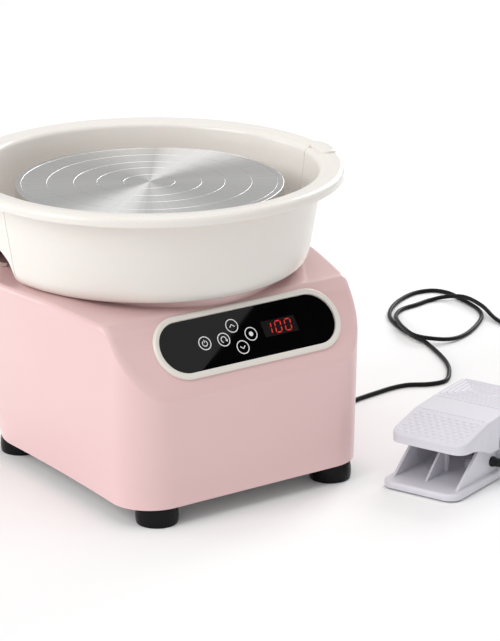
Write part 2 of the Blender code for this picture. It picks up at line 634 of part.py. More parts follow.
# ---- rear wall fittings -----------------------------------------------------
inlet = rear_piece("mains_inlet", prism(round_rect(32.0, 26.0, 2.0, 3), GAP, 3.0), (BLACK, 0.4),
                   *INLET)
cut_with(inlet, tool("inlet_neck", prism(round_rect(28.0, 21.0, 2.0, 3), -19, 1), inlet), "UNION")
cut_with(inlet, tool("inlet_well", prism(round_rect(23.0, 15.6, 3.5, 3), -14, 5), inlet))
for i, (px, py) in enumerate(((0, 2.6), (-7, -2.0), (7, -2.0))):
    blade = box(px - 1, px + 1, py - 2.4, py + 2.4, -15, -4.2)
    cut_with(inlet, tool("inlet_blade_%d" % i, blade, inlet), "UNION")
switch_frame = rear_piece("switch_frame", prism(round_rect(23.0, 31.0, 1.5, 3), GAP, 2.4),
                          (BLACK, 0.4), *SWITCH)
neck = prism(round_rect(20.0, 28.0, 1.0, 2), -17, 1)
cut_with(switch_frame, tool("switch_neck", neck, switch_frame), "UNION")
cut_with(switch_frame, tool("switch_well", box(-7.6, 7.6, -12.2, 12.2, -12, 5), switch_frame))
rocker_line = ((-11.2, 3.6), (0.0, 1.6), (11.2, 3.6), (11.6, 0.6), (4.0, -7.6), (-4.0, -7.6),
               (-11.6, 0.6))
rocker_bm = along_x(rocker_line, -7.3, 7.3)
rocker_bm.transform(Matrix.Rotation(math.radians(8.0), 4, "X"))
rear_piece("power_rocker", rocker_bm, (BLACK, 0.25), *SWITCH)
fuse = lathe(((0, -20), (5.6, -20), (6.2, -19), (6.2, GAP), (9.0, GAP), (9.0, 2.2), (8.2, 2.8),
              (6.4, 2.8), (6.0, 7.0), (5.4, 7.6), (0, 7.6)), 20)
rear_piece("fuse_holder", fuse, (BLACK, 0.4), *FUSE)

# ---- pedal socket, plug ------------------------------------------------------
X_AXIS = Matrix(((0, 0, 1, 0), (0, 1, 0, 0), (-1, 0, 0, 0), (0, 0, 0, 1)))
sx = SOCKET_X
socket = lathe(((3.6, sx - 23), (7.0, sx - 23), (7.0, sx + GAP), (10.0, sx + GAP),
                (10.0, sx + 2.2), (9.4, sx + 2.8), (4.6, sx + 2.8), (4.6, sx - 13),
                (3.6, sx - 13)), 20)
socket.transform(X_AXIS)
finish("pedal_socket", socket, (ZINC, 0.3, 1.0), (0, SOCKET_Y, SOCKET_Z))
plug = lathe(((2.8, sx - 5), (4.3, sx - 5), (4.3, sx + 2.8 + GAP), (8.0, sx + 2.8 + GAP),
              (8.0, sx + 21), (5.2, sx + 24), (4.2, sx + 47), (2.8, sx + 47)), 20)
plug.transform(X_AXIS)
finish("cord_plug", plug, (BLACK, 0.45), (0, SOCKET_Y, SOCKET_Z))

# ---- splash basin: front and rear parts ---------------------------------------
t = BASIN_T
basin_line = [
    (BASIN_FOOT_R - 2.6, DECK_Z + 3.2), (BASIN_FOOT_R, DECK_Z + GAP + 0.2),
    (158.4, DECK_Z + 2.4), (163.4, DECK_Z + 7.2), (166.2, DECK_Z + 13.6), (167.6, DECK_Z + 20.0),
    (WALL_R - 6.4, DECK_Z + 55.0), (WALL_R - 0.6, RIM_Z - 12.6), (WALL_R + 2.2, RIM_Z - t),
    (RIM_R - t, RIM_Z - t), (RIM_R - t, RIM_Z - 10.0), (RIM_R, RIM_Z - 10.0),
    (RIM_R, RIM_Z - 2.6), (RIM_R - 2.6, RIM_Z),
    (WALL_R + 2.4, RIM_Z), (WALL_R - 1.2, RIM_Z - 1.6), (WALL_R - 3.4, RIM_Z - 6.0),
    (WALL_R - 9.4, DECK_Z + 55.0), (166.6, BASIN_FLOOR + 6.0),
    (161.0, BASIN_FLOOR + t), (COLLAR_R + t, BASIN_FLOOR + t), (COLLAR_R + t, BASIN_FLOOR + 18),
    (COLLAR_R, BASIN_FLOOR + 18), (COLLAR_R, BASIN_FLOOR), (PEDESTAL_R + 18.0, BASIN_FLOOR),
    (163.0, BASIN_FLOOR - 3.0), (164.4, DECK_Z + 20.0), (161.8, DECK_Z + 11.4),
    (157.2, DECK_Z + 5.6)]
ARCH_Y = 34.0


def basin_half(name, start, sweep, tab_at, tab_arc, root_at, root_arc):
    """Ring part from its start angle, with one tab over its partner's rim."""
    seam = 0.15
    piece = finish(name, lathe(basin_line, int(round(sweep / 7.0)), sweep - 2 * seam,
                               start + seam), (IVORY, 0.32), smooth=40)
    tab = lathe(((WALL_R + 3.0, RIM_Z + GAP), (RIM_R - 1.0, RIM_Z + GAP),
                 (RIM_R - 1.0, RIM_Z + 2.2), (RIM_R - 2.0, RIM_Z + 2.9),
                 (WALL_R + 4.0, RIM_Z + 2.9), (WALL_R + 3.0, RIM_Z + 2.2)), 5, tab_arc, tab_at)
    cut_with(piece, tool(name + "_tab", tab, piece), "UNION")
    root = lathe(((WALL_R + 4.0, RIM_Z - 1.4), (RIM_R - 3.6, RIM_Z - 1.4),
                  (RIM_R - 3.6, RIM_Z + 1.4), (WALL_R + 4.0, RIM_Z + 1.4)), 3, root_arc, root_at)
    cut_with(piece, tool(name + "_root", root, piece), "UNION")
    return piece


front_half = basin_half("splash_front", 180.0, 180.0 - SEAM, -SEAM - 10.0, 13.0,
                        -SEAM - 9.0, 8.0)
rear_half = basin_half("splash_rear", -SEAM, 180.0 + SEAM, 171.5, 10.0, 172.5, 6.0)
for i, sx in enumerate((-1, 1)):
    spring_z = DECK_Z + 11.0
    arch_line = [(31.0, DECK_Z - 10.0), (31.0, spring_z)]
    for j in range(1, 12):
        a = math.pi * j / 12
        arch_line.append((31.0 * math.cos(a), spring_z + 22.5 * math.sin(a)))
    arch_line += [(-31.0, spring_z), (-31.0, DECK_Z - 10.0)]
    arch = along_x([(ARCH_Y + y, z) for y, z in arch_line], 0.0, 190.0)
    if sx < 0:
        arch.transform(Matrix.Scale(-1, 4, Vector((1, 0, 0))))
    cut_with(rear_half, tool("arch_form_%d" % i, arch, rear_half))

# ---- foot pedal -------------------------------------------------------------
# Local frame: X across to the right, Y from toe to heel, Z up.
PEDAL_EULER = (0, 0, math.radians(PEDAL_TURN))
PEDAL_MAT = Matrix.Rotation(math.radians(PEDAL_TURN), 4, "Z")


def pedal_piece(name, bm, look, x=0.0, y=0.0, z=0.0, smooth=35.0):
    """Piece in the pedal's frame with its own origin at x, y, z."""
    spot = PEDAL_MAT @ Vector((x, y, 0))
    at = (PEDAL_AT[0] + spot.x, PEDAL_AT[1] + spot.y, z)
    return finish(name, moved(bm, -x, -y, -z), look, at, PEDAL_EULER, smooth)


def treadle_top(y):
    for (ya, za), (yb, zb) in zip(TREADLE_Z, TREADLE_Z[1:]):
        if y <= yb:
            return za + (zb - za) * (y - ya) / (yb - ya)
    return TREADLE_Z[-1][1]


def strip_solid(half_line, low, top):
    """Solid over a left-right symmetric outline, with a height rule per y."""
    bm = bmesh.new()
    cols = []
    for x, y in half_line:
        cols.append([bm.verts.new((-x, y, low(y))), bm.verts.new((x, y, low(y))),
                     bm.verts.new((x, y, top(y))), bm.verts.new((-x, y, top(y)))])
    for a, b in zip(cols, cols[1:]):
        for i in range(4):
            j = (i + 1) % 4
            bm.faces.new((a[i], a[j], b[j], b[i]))
    bm.faces.new(cols[0])
    bm.faces.new(list(reversed(cols[-1])))
    return bm


pedal_base = pedal_piece("pedal_base", prism(round_rect(PLATE_W, PLATE_L, 15.0, 6, 0.0), *PLATE_Z),
                         (COOL_WHITE, 0.4))
tail = box(-SIDE_WALL_X - 1.5, SIDE_WALL_X + 1.5, PLATE_L - 14, PEDAL_L - 5, *PLATE_Z)
cut_with(pedal_base, tool("base_tail", tail, pedal_base), "UNION")
zt = PLATE_Z[1] - 1.0
for i, sx in enumerate((-1, 1)):
    wall_line = ((14.0, zt), (56.0, 40.0), (PEDAL_L - 18, 40.0), (PEDAL_L - 5, 30.0), (PEDAL_L - 5, zt))
    wall = along_x(wall_line, sx * SIDE_WALL_X - 1.5, sx * SIDE_WALL_X + 1.5)
    cut_with(pedal_base, tool("base_wall_%d" % i, wall, pedal_base), "UNION")
    boss_line = [(HINGE_Y + 15, zt), (HINGE_Y + 15, HINGE_Z)]
    for j in range(1, 8):
        a = math.pi * j / 8
        boss_line.append((HINGE_Y + 15 * math.cos(a), HINGE_Z + 15 * math.sin(a)))
    boss_line += [(HINGE_Y - 15, HINGE_Z), (HINGE_Y - 15, zt)]
    x0 = sx * (SIDE_WALL_X + 0.5)
    x1 = sx * 44.6
    boss = along_x(boss_line, min(x0, x1), max(x0, x1))
    cut_with(pedal_base, tool("base_boss_%d" % i, boss, pedal_base), "UNION")
rib_line = ((22.0, zt), (50.0, 34.0), (66.0, 34.0), (66.0, zt))
cut_with(pedal_base, tool("base_rib", along_x(rib_line, -4.2, -1.8), pedal_base), "UNION")
post = prism(circle(4.2, 14, -3.0, 62.0), zt, 38.0)
cut_with(pedal_base, tool("base_post", post, pedal_base), "UNION")
back_wall = box(-SIDE_WALL_X, SIDE_WALL_X, PEDAL_L - 8, PEDAL_L - 5, zt, 30.0)
cut_with(pedal_base, tool("base_back", back_wall, pedal_base), "UNION")
SPRING_AT = (12.0, 84.0)
seat = prism(circle(4.6, 14, *SPRING_AT), zt, 17.0)
cut_with(pedal_base, tool("spring_seat", seat, pedal_base), "UNION")
pin_bore = along_x(circle(2.3, 14, HINGE_Y, HINGE_Z), -60.0, 60.0)
cut_with(pedal_base, tool("hinge_bore", pin_bore, pedal_base))
RELIEF_AT = (84.0, 21.0)
gland_bore = along_x(circle(3.7, 16, *RELIEF_AT), 30.0, 50.0)
cut_with(pedal_base, tool("relief_bore", gland_bore, pedal_base))
for i, (px, py) in enumerate(((-34, 12), (34, 12), (-30, 150), (30, 150))):
    recess = prism(circle(6.4, 16, px, py), 0.0, 3.2)
    cut_with(pedal_base, tool("pad_recess_%d" % i, recess, pedal_base))
PADS = ((-34, 12, "front_left"), (34, 12, "front_right"), (-30, 150, "rear_left"), (30, 150, "rear_right"))
for px, py, word in PADS:
    pad_line = ((0, 0), (5.4, 0), (6.0, 0.6), (6.0, 2.9), (0, 2.9))
    pedal_piece("pedal_pad_" + word, moved(lathe(pad_line, 12), px, py), (BLACK, 0.7), px, py)

half = TREADLE_W / 2
line = []
for i in range(6):
    a = math.radians(-90 + 90 * i / 5)
    line.append((half - 13 + 13 * math.cos(a), TREADLE_Y0 + 13 + 13 * math.sin(a)))
line += [(half, 66.0), (half, 72.0), (half, 105.0), (half, 150.0)]
for i in range(1, 5):
    a = math.radians(90 * i / 4)
    line.append((half - 8 + 8 * math.cos(a), PEDAL_L - 8 + 8 * math.sin(a)))


def skirt_low(y):
    if y < 72.0:
        return 47.0 - 13.0 * max(0.0, (y - 30.0) / 42.0) ** 1.6
    return 34.0


def inner_line(points, inset):
    inner = []
    for x, y in points:
        scale = (half - inset) / half
        middle = (TREADLE_Y0 + PEDAL_L) / 2
        reach = (PEDAL_L - TREADLE_Y0) / 2
        inner.append((x * scale, middle + (y - middle) * (reach - inset) / reach))
    return inner


shell = strip_solid(line, skirt_low, treadle_top)
rim_edges = []
for edge in shell.edges:
    on_top = all(abs(v.co.z - treadle_top(v.co.y)) < 0.01 for v in edge.verts)
    if on_top and edge.calc_face_angle(0.0) > math.radians(50):
        rim_edges.append(edge)
bmesh.ops.bevel(shell, geom=rim_edges, offset=1.8, offset_type="OFFSET", segments=2,
                profile=0.5, affect="EDGES", clamp_overlap=True)
treadle = pedal_piece("treadle", shell, (COOL_WHITE, 0.42), 0.0, HINGE_Y, HINGE_Z, smooth=25)


def treadle_tool(name, bm, mode="DIFFERENCE"):
    form = pedal_piece(name, bm, None, 0.0, HINGE_Y, HINGE_Z)
    cut_with(treadle, form, mode)


hollow = strip_solid(inner_line(line, 2.4), lambda y: 10.0, lambda y: treadle_top(y) - 2.6)
treadle_tool("treadle_hollow", hollow)
for i, sx in enumerate((-1, 1)):
    notch_line = [(HINGE_Y + 19, 20.0), (HINGE_Y + 19, HINGE_Z + 6)]
    for j in range(1, 8):
        a = math.pi * j / 8
        notch_line.append((HINGE_Y + 19 * math.cos(a), HINGE_Z + 6 + 16 * math.sin(a)))
    notch_line += [(HINGE_Y - 19, HINGE_Z + 6), (HINGE_Y - 19, 20.0)]
    x0 = sx * 41.0
    x1 = sx * 50.0
    treadle_tool("treadle_notch_%d" % i, along_x(notch_line, min(x0, x1), max(x0, x1)))
    lug_line = [(HINGE_Y + 7, 71.0)]
    for j in range(9):
        a = -math.pi * j / 8
        lug_line.append((HINGE_Y + 7 * math.cos(a), HINGE_Z + 7 * math.sin(a)))
    lug_line.append((HINGE_Y - 7, 71.0))
    x0 = sx * 31.0
    x1 = sx * (SIDE_WALL_X - 1.5 - GAP)
    treadle_tool("treadle_lug_%d" % i, along_x(lug_line, min(x0, x1), max(x0, x1)), "UNION")
treadle_tool("treadle_bore", along_x(circle(2.3, 14, HINGE_Y, HINGE_Z), -60.0, 60.0))
cup = prism(circle(4.4, 14, *SPRING_AT), 55.0, 69.5)
treadle_tool("treadle_spring_post", cup, "UNION")
arm = box(-22.0, -16.0, 128.0, 134.0, 30.0, 72.0)
treadle_tool("treadle_magnet_arm", arm, "UNION")

pin = along_x(circle(2.0, 16, HINGE_Y, HINGE_Z), -44.0, 44.0)
pedal_piece("hinge_pin", pin, (STEEL, 0.25, 1.0), 0.0, HINGE_Y, HINGE_Z)
magnet = prism(circle(3.0, 14, -19.0, 131.0), 30.0 - GAP - 3.0, 30.0 - GAP)
pedal_piece("sensor_magnet", magnet, (STEEL, 0.2, 1.0), 0.0, HINGE_Y, HINGE_Z)
sensor = box(-30.0, -8.0, 118.0, 144.0, 10.5, 12.1)
sensor_board = pedal_piece("sensor_board", sensor, (PCB, 0.5))
cell = box(-21.5, -16.5, 129.0, 133.0, 11.5, 16.0)
cut_with(sensor_board, tool("hall_cell", cell, sensor_board), "UNION")
for i, (px, py) in enumerate(((-27, 121), (-11, 141))):
    leg = prism(circle(2.0, 10, px, py), PLATE_Z[1] + GAP, 11.0)
    cut_with(sensor_board, tool("sensor_leg_%d" % i, leg, sensor_board), "UNION")

# Return spring: open coil between the seat on the base and the treadle's post.
coil = bmesh.new()
TURNS = 6
WIRE_R = 0.8
rings = []
steps = TURNS * 9
for i in range(steps + 1):
    a = 2 * math.pi * i / 9
    centre = Vector((6.4 * math.cos(a), 6.4 * math.sin(a), 10.4 + (66.2 - 10.4) * i / steps))
    radial = Vector((math.cos(a), math.sin(a), 0))
    ring = []
    for k in range(5):
        b = 2 * math.pi * k / 5
        ring.append(coil.verts.new(centre + (radial * math.cos(b) + Vector((0, 0, 1)) * math.sin(b)) * WIRE_R))
    rings.append(ring)
for a, b in zip(rings, rings[1:]):
    for k in range(5):
        j = (k + 1) % 5
        coil.faces.new((a[k], a[j], b[j], b[k]))
coil.faces.new(rings[0])
coil.faces.new(list(reversed(rings[-1])))
moved(coil, SPRING_AT[0], SPRING_AT[1], 0.0)
pedal_piece("return_spring", coil, (STEEL, 0.25, 1.0), SPRING_AT[0], SPRING_AT[1], 38.0)

ry, rz = RELIEF_AT
relief_line = ((2.8, 33.2), (5.0, 33.2), (5.0, 36.2), (3.4, 36.2), (3.4, 39.8), (5.6, 39.8),
               (5.6, 42.0), (4.6, 44.0), (3.9, 60.0), (2.8, 60.0))
relief = lathe(relief_line, 14)
relief.transform(X_AXIS)
pedal_piece("strain_relief", moved(relief, 0, ry, rz), (BLACK, 0.6), 40.0, ry, rz)

# ---- pedal cord -------------------------------------------------------------
exit_at = PEDAL_MAT @ Vector((31.0, ry, 0))
exit_way = PEDAL_MAT @ Vector((1, 0, 0))
px = PEDAL_AT[0] + exit_at.x
py = PEDAL_AT[1] + exit_at.y
FLOOR = CORD_D / 2 + 0.1
OVER = FLOOR + CORD_D + 0.9
route = [
    (147.0, SOCKET_Y, SOCKET_Z), (180.0, SOCKET_Y, SOCKET_Z), (210.0, SOCKET_Y, SOCKET_Z),
    (224.0, SOCKET_Y + 1, 40.0), (238.0, SOCKET_Y + 4, 20.0), (256.0, SOCKET_Y + 8, FLOOR + 2),
    (281.0, 2.0, FLOOR),
    (307.0, 6.0, FLOOR), (333.0, 9.0, FLOOR), (352.0, 7.0, FLOOR), (374.0, -5.0, FLOOR),
    (395.0, -7.0, FLOOR), (421.0, 17.0, FLOOR), (437.0, 41.0, FLOOR), (448.0, 65.0, FLOOR),
    (459.0, 96.0, FLOOR), (466.0, 120.0, FLOOR), (469.0, 146.0, FLOOR), (474.0, 174.0, FLOOR),
    (484.0, 204.0, FLOOR), (496.0, 224.0, FLOOR), (517.0, 245.0, FLOOR), (546.0, 264.0, FLOOR),
    (577.0, 274.0, FLOOR), (599.0, 269.0, FLOOR), (608.0, 252.0, FLOOR), (605.0, 219.0, FLOOR),
    (596.0, 178.0, FLOOR), (583.0, 155.0, FLOOR), (557.0, 132.0, FLOOR), (520.0, 110.0, FLOOR),
    (491.0, 103.0, FLOOR + 2), (470.0, 110.0, OVER - 1), (459.5, 127.0, OVER),
    (466.0, 158.0, OVER), (485.0, 196.0, OVER - 2), (505.0, 221.0, FLOOR), (523.0, 232.0, FLOOR),
    (545.0, 235.0, FLOOR), (572.0, 240.0, FLOOR), (590.0, 235.0, FLOOR + 2),
    (601.0, 214.0, OVER), (597.0, 172.0, OVER), (586.0, 130.0, FLOOR + 1), (584.0, 84.0, FLOOR),
    (576.0, 30.0, FLOOR), (548.0, -40.0, FLOOR), (496.0, -118.0, FLOOR), (430.0, -196.0, FLOOR),
    (370.0, -262.0, FLOOR + 1)]
tail_pts = []
for reach, height in ((64.0, rz - 3.0), (44.0, rz), (20.0, rz), (0.0, rz)):
    tail_pts.append((px + exit_way.x * reach, py + exit_way.y * reach, height))
route += tail_pts


def smooth_run(points, spacing):
    """Evenly spaced points along a centripetal spline through the route."""
    pts = [Vector(p) for p in points]
    pts = [pts[0] * 2 - pts[1]] + pts + [pts[-1] * 2 - pts[-2]]
    fine = []
    for i in range(1, len(pts) - 2):
        p0, p1, p2, p3 = pts[i - 1:i + 3]
        t0 = 0.0
        t1 = t0 + (p1 - p0).length ** 0.5
        t2 = t1 + (p2 - p1).length ** 0.5
        t3 = t2 + (p3 - p2).length ** 0.5
        for k in range(16):
            s = t1 + (t2 - t1) * k / 16
            a1 = p0 * ((t1 - s) / (t1 - t0)) + p1 * ((s - t0) / (t1 - t0))
            a2 = p1 * ((t2 - s) / (t2 - t1)) + p2 * ((s - t1) / (t2 - t1))
            a3 = p2 * ((t3 - s) / (t3 - t2)) + p3 * ((s - t2) / (t3 - t2))
            b1 = a1 * ((t2 - s) / (t2 - t0)) + a2 * ((s - t0) / (t2 - t0))
            b2 = a2 * ((t3 - s) / (t3 - t1)) + a3 * ((s - t1) / (t3 - t1))
            fine.append(b1 * ((t2 - s) / (t2 - t1)) + b2 * ((s - t1) / (t2 - t1)))
    fine.append(pts[-2])
    for point in fine:
        point.z = max(point.z, FLOOR)
    length = sum((b - a).length for a, b in zip(fine, fine[1:]))
    count = int(length / spacing)
    out = [fine[0]]
    step = length / count
    walked = 0.0
    goal = step
    for a, b in zip(fine, fine[1:]):
        leg = (b - a).length
        while leg > 0 and walked + leg >= goal - 1e-6 and len(out) < count:
            out.append(a.lerp(b, (goal - walked) / leg))
            goal += step
        walked += leg
    out.append(fine[-1])
    return out


run = smooth_run(route, 20.0)
curve = bpy.data.curves.new("pedal_cord", "CURVE")
curve.dimensions = "3D"
curve.bevel_depth = CORD_D / 2 * MM
curve.bevel_resolution = 2
curve.use_fill_caps = True
spline = curve.splines.new("POLY")
spline.points.add(len(run) - 1)
for point, spot in zip(spline.points, run):
    point.co = ((spot.x + CENTRE[0]) * MM, (spot.y + CENTRE[1]) * MM, spot.z * MM, 1.0)
curve.materials.append(material("pedal_cord", BLACK, 0.5))
cord = bpy.data.objects.new("pedal_cord", curve)
bpy.context.scene.collection.objects.link(cord)
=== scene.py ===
import math

import bmesh
import bpy
from mathutils import Matrix, Vector


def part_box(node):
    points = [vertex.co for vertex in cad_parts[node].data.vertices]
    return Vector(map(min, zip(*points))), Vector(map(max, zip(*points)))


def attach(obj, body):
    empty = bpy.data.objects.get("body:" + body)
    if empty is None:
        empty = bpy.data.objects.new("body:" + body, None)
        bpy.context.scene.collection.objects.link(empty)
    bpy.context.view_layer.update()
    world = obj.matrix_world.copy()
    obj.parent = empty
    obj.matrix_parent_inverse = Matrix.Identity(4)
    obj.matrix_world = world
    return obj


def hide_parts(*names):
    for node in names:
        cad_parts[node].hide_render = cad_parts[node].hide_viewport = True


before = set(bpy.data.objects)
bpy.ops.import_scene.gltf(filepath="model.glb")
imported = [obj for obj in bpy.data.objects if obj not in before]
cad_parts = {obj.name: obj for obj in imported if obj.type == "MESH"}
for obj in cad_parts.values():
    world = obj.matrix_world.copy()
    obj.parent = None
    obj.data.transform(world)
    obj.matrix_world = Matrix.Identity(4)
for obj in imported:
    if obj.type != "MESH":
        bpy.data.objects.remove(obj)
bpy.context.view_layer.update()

MM = 0.001
head_low, head_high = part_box("wheel_head")
AXIS = ((head_low.x + head_high.x) / 2, (head_low.y + head_high.y) / 2)

# ---- Studio ------------------------------------------------------------------
# A plain white table under broad soft boxes on the left, behind on both sides
# and overhead, in a white room.
SIGHT_TURN = math.radians(-35.66)
SIGHT_DIP = math.radians(17.95)
back = Vector((math.sin(SIGHT_TURN) * math.cos(SIGHT_DIP),
               -math.cos(SIGHT_TURN) * math.cos(SIGHT_DIP), math.sin(SIGHT_DIP)))
right = Vector((math.cos(SIGHT_TURN), math.sin(SIGHT_TURN), 0.0))
up = back.cross(right)


def linked(name, data):
    """Object for this data, linked to the scene."""
    obj = bpy.data.objects.new(name, data)
    bpy.context.scene.collection.objects.link(obj)
    return obj


lens = bpy.data.cameras.new("camera")
lens.sensor_width = 36.0
lens.lens = 181.2
lens.clip_end = 30.0
camera = linked("camera", lens)
turn = Matrix((right, up, back)).transposed().to_4x4()
spot = Vector((AXIS[0], AXIS[1], 0.2)) + back * 3.384 + right * 0.1042 - up * 0.05
camera.matrix_world = Matrix.Translation(spot) @ turn
bpy.context.scene.camera = camera
bpy.context.scene.view_settings.view_transform = "Standard"


def put(node, values):
    """Set the named input sockets of a node."""
    for label, value in values.items():
        node.inputs[label].default_value = value


def matte(name, grey, rough, shine):
    """Plain grey surface for the studio's own things."""
    surface = bpy.data.materials.new(name)
    surface.use_nodes = True
    put(surface.node_tree.nodes["Principled BSDF"],
        {"Base Color": (grey, grey, grey, 1), "Roughness": rough, "Specular IOR Level": shine})
    return surface


def built(name, bm):
    """Object at the origin holding the bmesh, which is used up."""
    mesh = bpy.data.meshes.new(name)
    bm.to_mesh(mesh)
    bm.free()
    return linked(name, mesh)


table = bmesh.new()
bmesh.ops.create_grid(table, x_segments=1, y_segments=1, size=8.0)
table_top = built("table_top", table)
table_top.data.materials.append(matte("white_paper", 0.93, 0.9, 0.1))


def soft_box(name, place, aim, size, watts):
    """Rectangular studio light at place, facing aim."""
    lamp = bpy.data.lights.new(name, "AREA")
    lamp.shape = "RECTANGLE"
    lamp.size, lamp.size_y = size
    lamp.energy = watts
    light = linked(name, lamp)
    light.location = place
    light.rotation_euler = (Vector(aim) - Vector(place)).to_track_quat("-Z", "Y").to_euler()
    return light


soft_box("key_left", (-2.7, 0.1, 1.9), (0, 0, 0.15), (1.7, 1.7), 36)
soft_box("rear_left", (-2.2, 2.3, 0.9), (0, 0, 0.15), (1.3, 1.0), 14)
soft_box("rear_right", (2.5, 1.2, 1.5), (0.1, 0, 0.15), (1.2, 1.6), 35)
soft_box("overhead", (0.2, -0.4, 3.0), (0.1, 0, 0), (2.2, 2.2), 20)
sky = bpy.data.worlds.new("studio_air")
sky.use_nodes = True
put(sky.node_tree.nodes["Background"], {"Color": (1, 1, 1, 1), "Strength": 0.62})
bpy.context.scene.world = sky

# ---- Pedal cord --------------------------------------------------------------
# A round 5 mm PVC lead, limp and black. It leaves the unit's right wall in a
# moulded plug, lies in a double loop on the table and ends in the pedal.
CORD_D = 0.005
socket_low, socket_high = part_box("pedal_socket")
SOCKET = ((socket_low.y + socket_high.y) / 2, (socket_low.z + socket_high.z) / 2)
FLOOR = CORD_D / 2 + 0.0001
OVER = FLOOR + CORD_D + 0.0009
CORD_ROUTE = (
    (0.147, -0.012, 0.046), (0.180, -0.012, 0.046), (0.210, -0.012, 0.046),
    (0.224, -0.011, 0.040), (0.238, -0.008, 0.020), (0.256, -0.004, FLOOR + 0.002),
    (0.281, 0.002, FLOOR), (0.307, 0.006, FLOOR), (0.333, 0.009, FLOOR), (0.352, 0.007, FLOOR),
    (0.374, -0.005, FLOOR), (0.395, -0.007, FLOOR), (0.421, 0.017, FLOOR), (0.437, 0.041, FLOOR),
    (0.448, 0.065, FLOOR), (0.459, 0.096, FLOOR), (0.466, 0.120, FLOOR), (0.469, 0.146, FLOOR),
    (0.474, 0.174, FLOOR), (0.484, 0.204, FLOOR), (0.496, 0.224, FLOOR), (0.517, 0.245, FLOOR),
    (0.546, 0.264, FLOOR), (0.577, 0.274, FLOOR), (0.599, 0.269, FLOOR), (0.608, 0.252, FLOOR),
    (0.605, 0.219, FLOOR), (0.596, 0.178, FLOOR), (0.583, 0.155, FLOOR), (0.557, 0.132, FLOOR),
    (0.520, 0.110, FLOOR), (0.491, 0.103, FLOOR + 0.002), (0.470, 0.110, OVER - 0.001),
    (0.4595, 0.127, OVER), (0.466, 0.158, OVER), (0.485, 0.196, OVER - 0.002),
    (0.505, 0.221, FLOOR), (0.523, 0.232, FLOOR), (0.545, 0.235, FLOOR), (0.572, 0.240, FLOOR),
    (0.590, 0.235, FLOOR + 0.002), (0.601, 0.214, OVER), (0.597, 0.172, OVER),
    (0.586, 0.130, FLOOR + 0.001), (0.584, 0.084, FLOOR), (0.576, 0.030, FLOOR),
    (0.548, -0.040, FLOOR), (0.496, -0.118, FLOOR), (0.430, -0.196, FLOOR),
    (0.370, -0.262, FLOOR + 0.001))
PEDAL_TURN = Matrix.Rotation(math.radians(-70.0), 3, "Z")
PEDAL_AT = Vector((0.147, -0.268, 0.0)) + Vector((AXIS[0], AXIS[1], 0.0))


def in_pedal(x, y, z):
    """Point of the pedal's own frame (mm: across, toe to heel, up) on the table."""
    return PEDAL_TURN @ (Vector((x, y, z)) * MM) + PEDAL_AT


cord_points = [Vector((AXIS[0] + x, AXIS[1] + y, z)) for x, y, z in CORD_ROUTE]
for reach, height in ((95.0, 18.0), (75.0, 21.0), (51.0, 21.0), (31.0, 21.0)):
    cord_points.append(in_pedal(reach, 84.0, height))


def smooth_run(route, spacing, lowest):
    """Evenly spaced points along a centripetal spline through the route."""
    pts = [route[0] * 2 - route[1]] + list(route) + [route[-1] * 2 - route[-2]]
    fine = []
    for i in range(1, len(pts) - 2):
        p0, p1, p2, p3 = pts[i - 1:i + 3]
        t0 = 0.0
        t1 = t0 + (p1 - p0).length ** 0.5
        t2 = t1 + (p2 - p1).length ** 0.5
        t3 = t2 + (p3 - p2).length ** 0.5
        for k in range(16):
            s = t1 + (t2 - t1) * k / 16
            a1 = p0 * ((t1 - s) / (t1 - t0)) + p1 * ((s - t0) / (t1 - t0))
            a2 = p1 * ((t2 - s) / (t2 - t1)) + p2 * ((s - t1) / (t2 - t1))
            a3 = p2 * ((t3 - s) / (t3 - t2)) + p3 * ((s - t2) / (t3 - t2))
            b1 = a1 * ((t2 - s) / (t2 - t0)) + a2 * ((s - t0) / (t2 - t0))
            b2 = a2 * ((t3 - s) / (t3 - t1)) + a3 * ((s - t1) / (t3 - t1))
            fine.append(b1 * ((t2 - s) / (t2 - t1)) + b2 * ((s - t1) / (t2 - t1)))
    fine.append(pts[-2])
    for point in fine:
        point.z = max(point.z, lowest)
    length = sum((b - a).length for a, b in zip(fine, fine[1:]))
    count = int(length / spacing)
    out = [fine[0]]
    step = length / count
    walked = 0.0
    goal = step
    for a, b in zip(fine, fine[1:]):
        leg = (b - a).length
        while leg > 0 and walked + leg >= goal - 1e-9 and len(out) < count:
            out.append(a.lerp(b, (goal - walked) / leg))
            goal += step
        walked += leg
    out.append(fine[-1])
    return out, length


run, cord_length = smooth_run(cord_points, 0.006, FLOOR)
print("cord length", round(cord_length, 3))
cord_curve = bpy.data.curves.new("pedal_lead", "CURVE")
cord_curve.dimensions = "3D"
cord_curve.bevel_depth = CORD_D / 2
cord_curve.bevel_resolution = 4
cord_curve.use_fill_caps = True
spline = cord_curve.splines.new("POLY")
spline.points.add(len(run) - 1)
for point, place in zip(spline.points, run):
    point.co = (*place, 1.0)
spline.use_smooth = True
lead_curve = linked("lead_curve", cord_curve)
bpy.context.view_layer.update()
cord_mesh = bpy.data.meshes.new_from_object(lead_curve.evaluated_get(bpy.context.evaluated_depsgraph_get()))
bpy.data.objects.remove(lead_curve)
pedal_lead = linked("pedal_lead", cord_mesh)
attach(pedal_lead, "unit")
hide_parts("pedal_cord")


def group(name, inputs, outputs):
    """Empty shader node group with float inputs and typed outputs."""
    tree = bpy.data.node_groups.new(name, "ShaderNodeTree")
    for label, value in inputs:
        socket = tree.interface.new_socket(label, in_out="INPUT", socket_type="NodeSocketFloat")
        socket.default_value = value
    for label in outputs:
        tree.interface.new_socket(label, in_out="OUTPUT", socket_type="NodeSocketFloat")
    return tree, tree.nodes.new("NodeGroupInput"), tree.nodes.new("NodeGroupOutput")


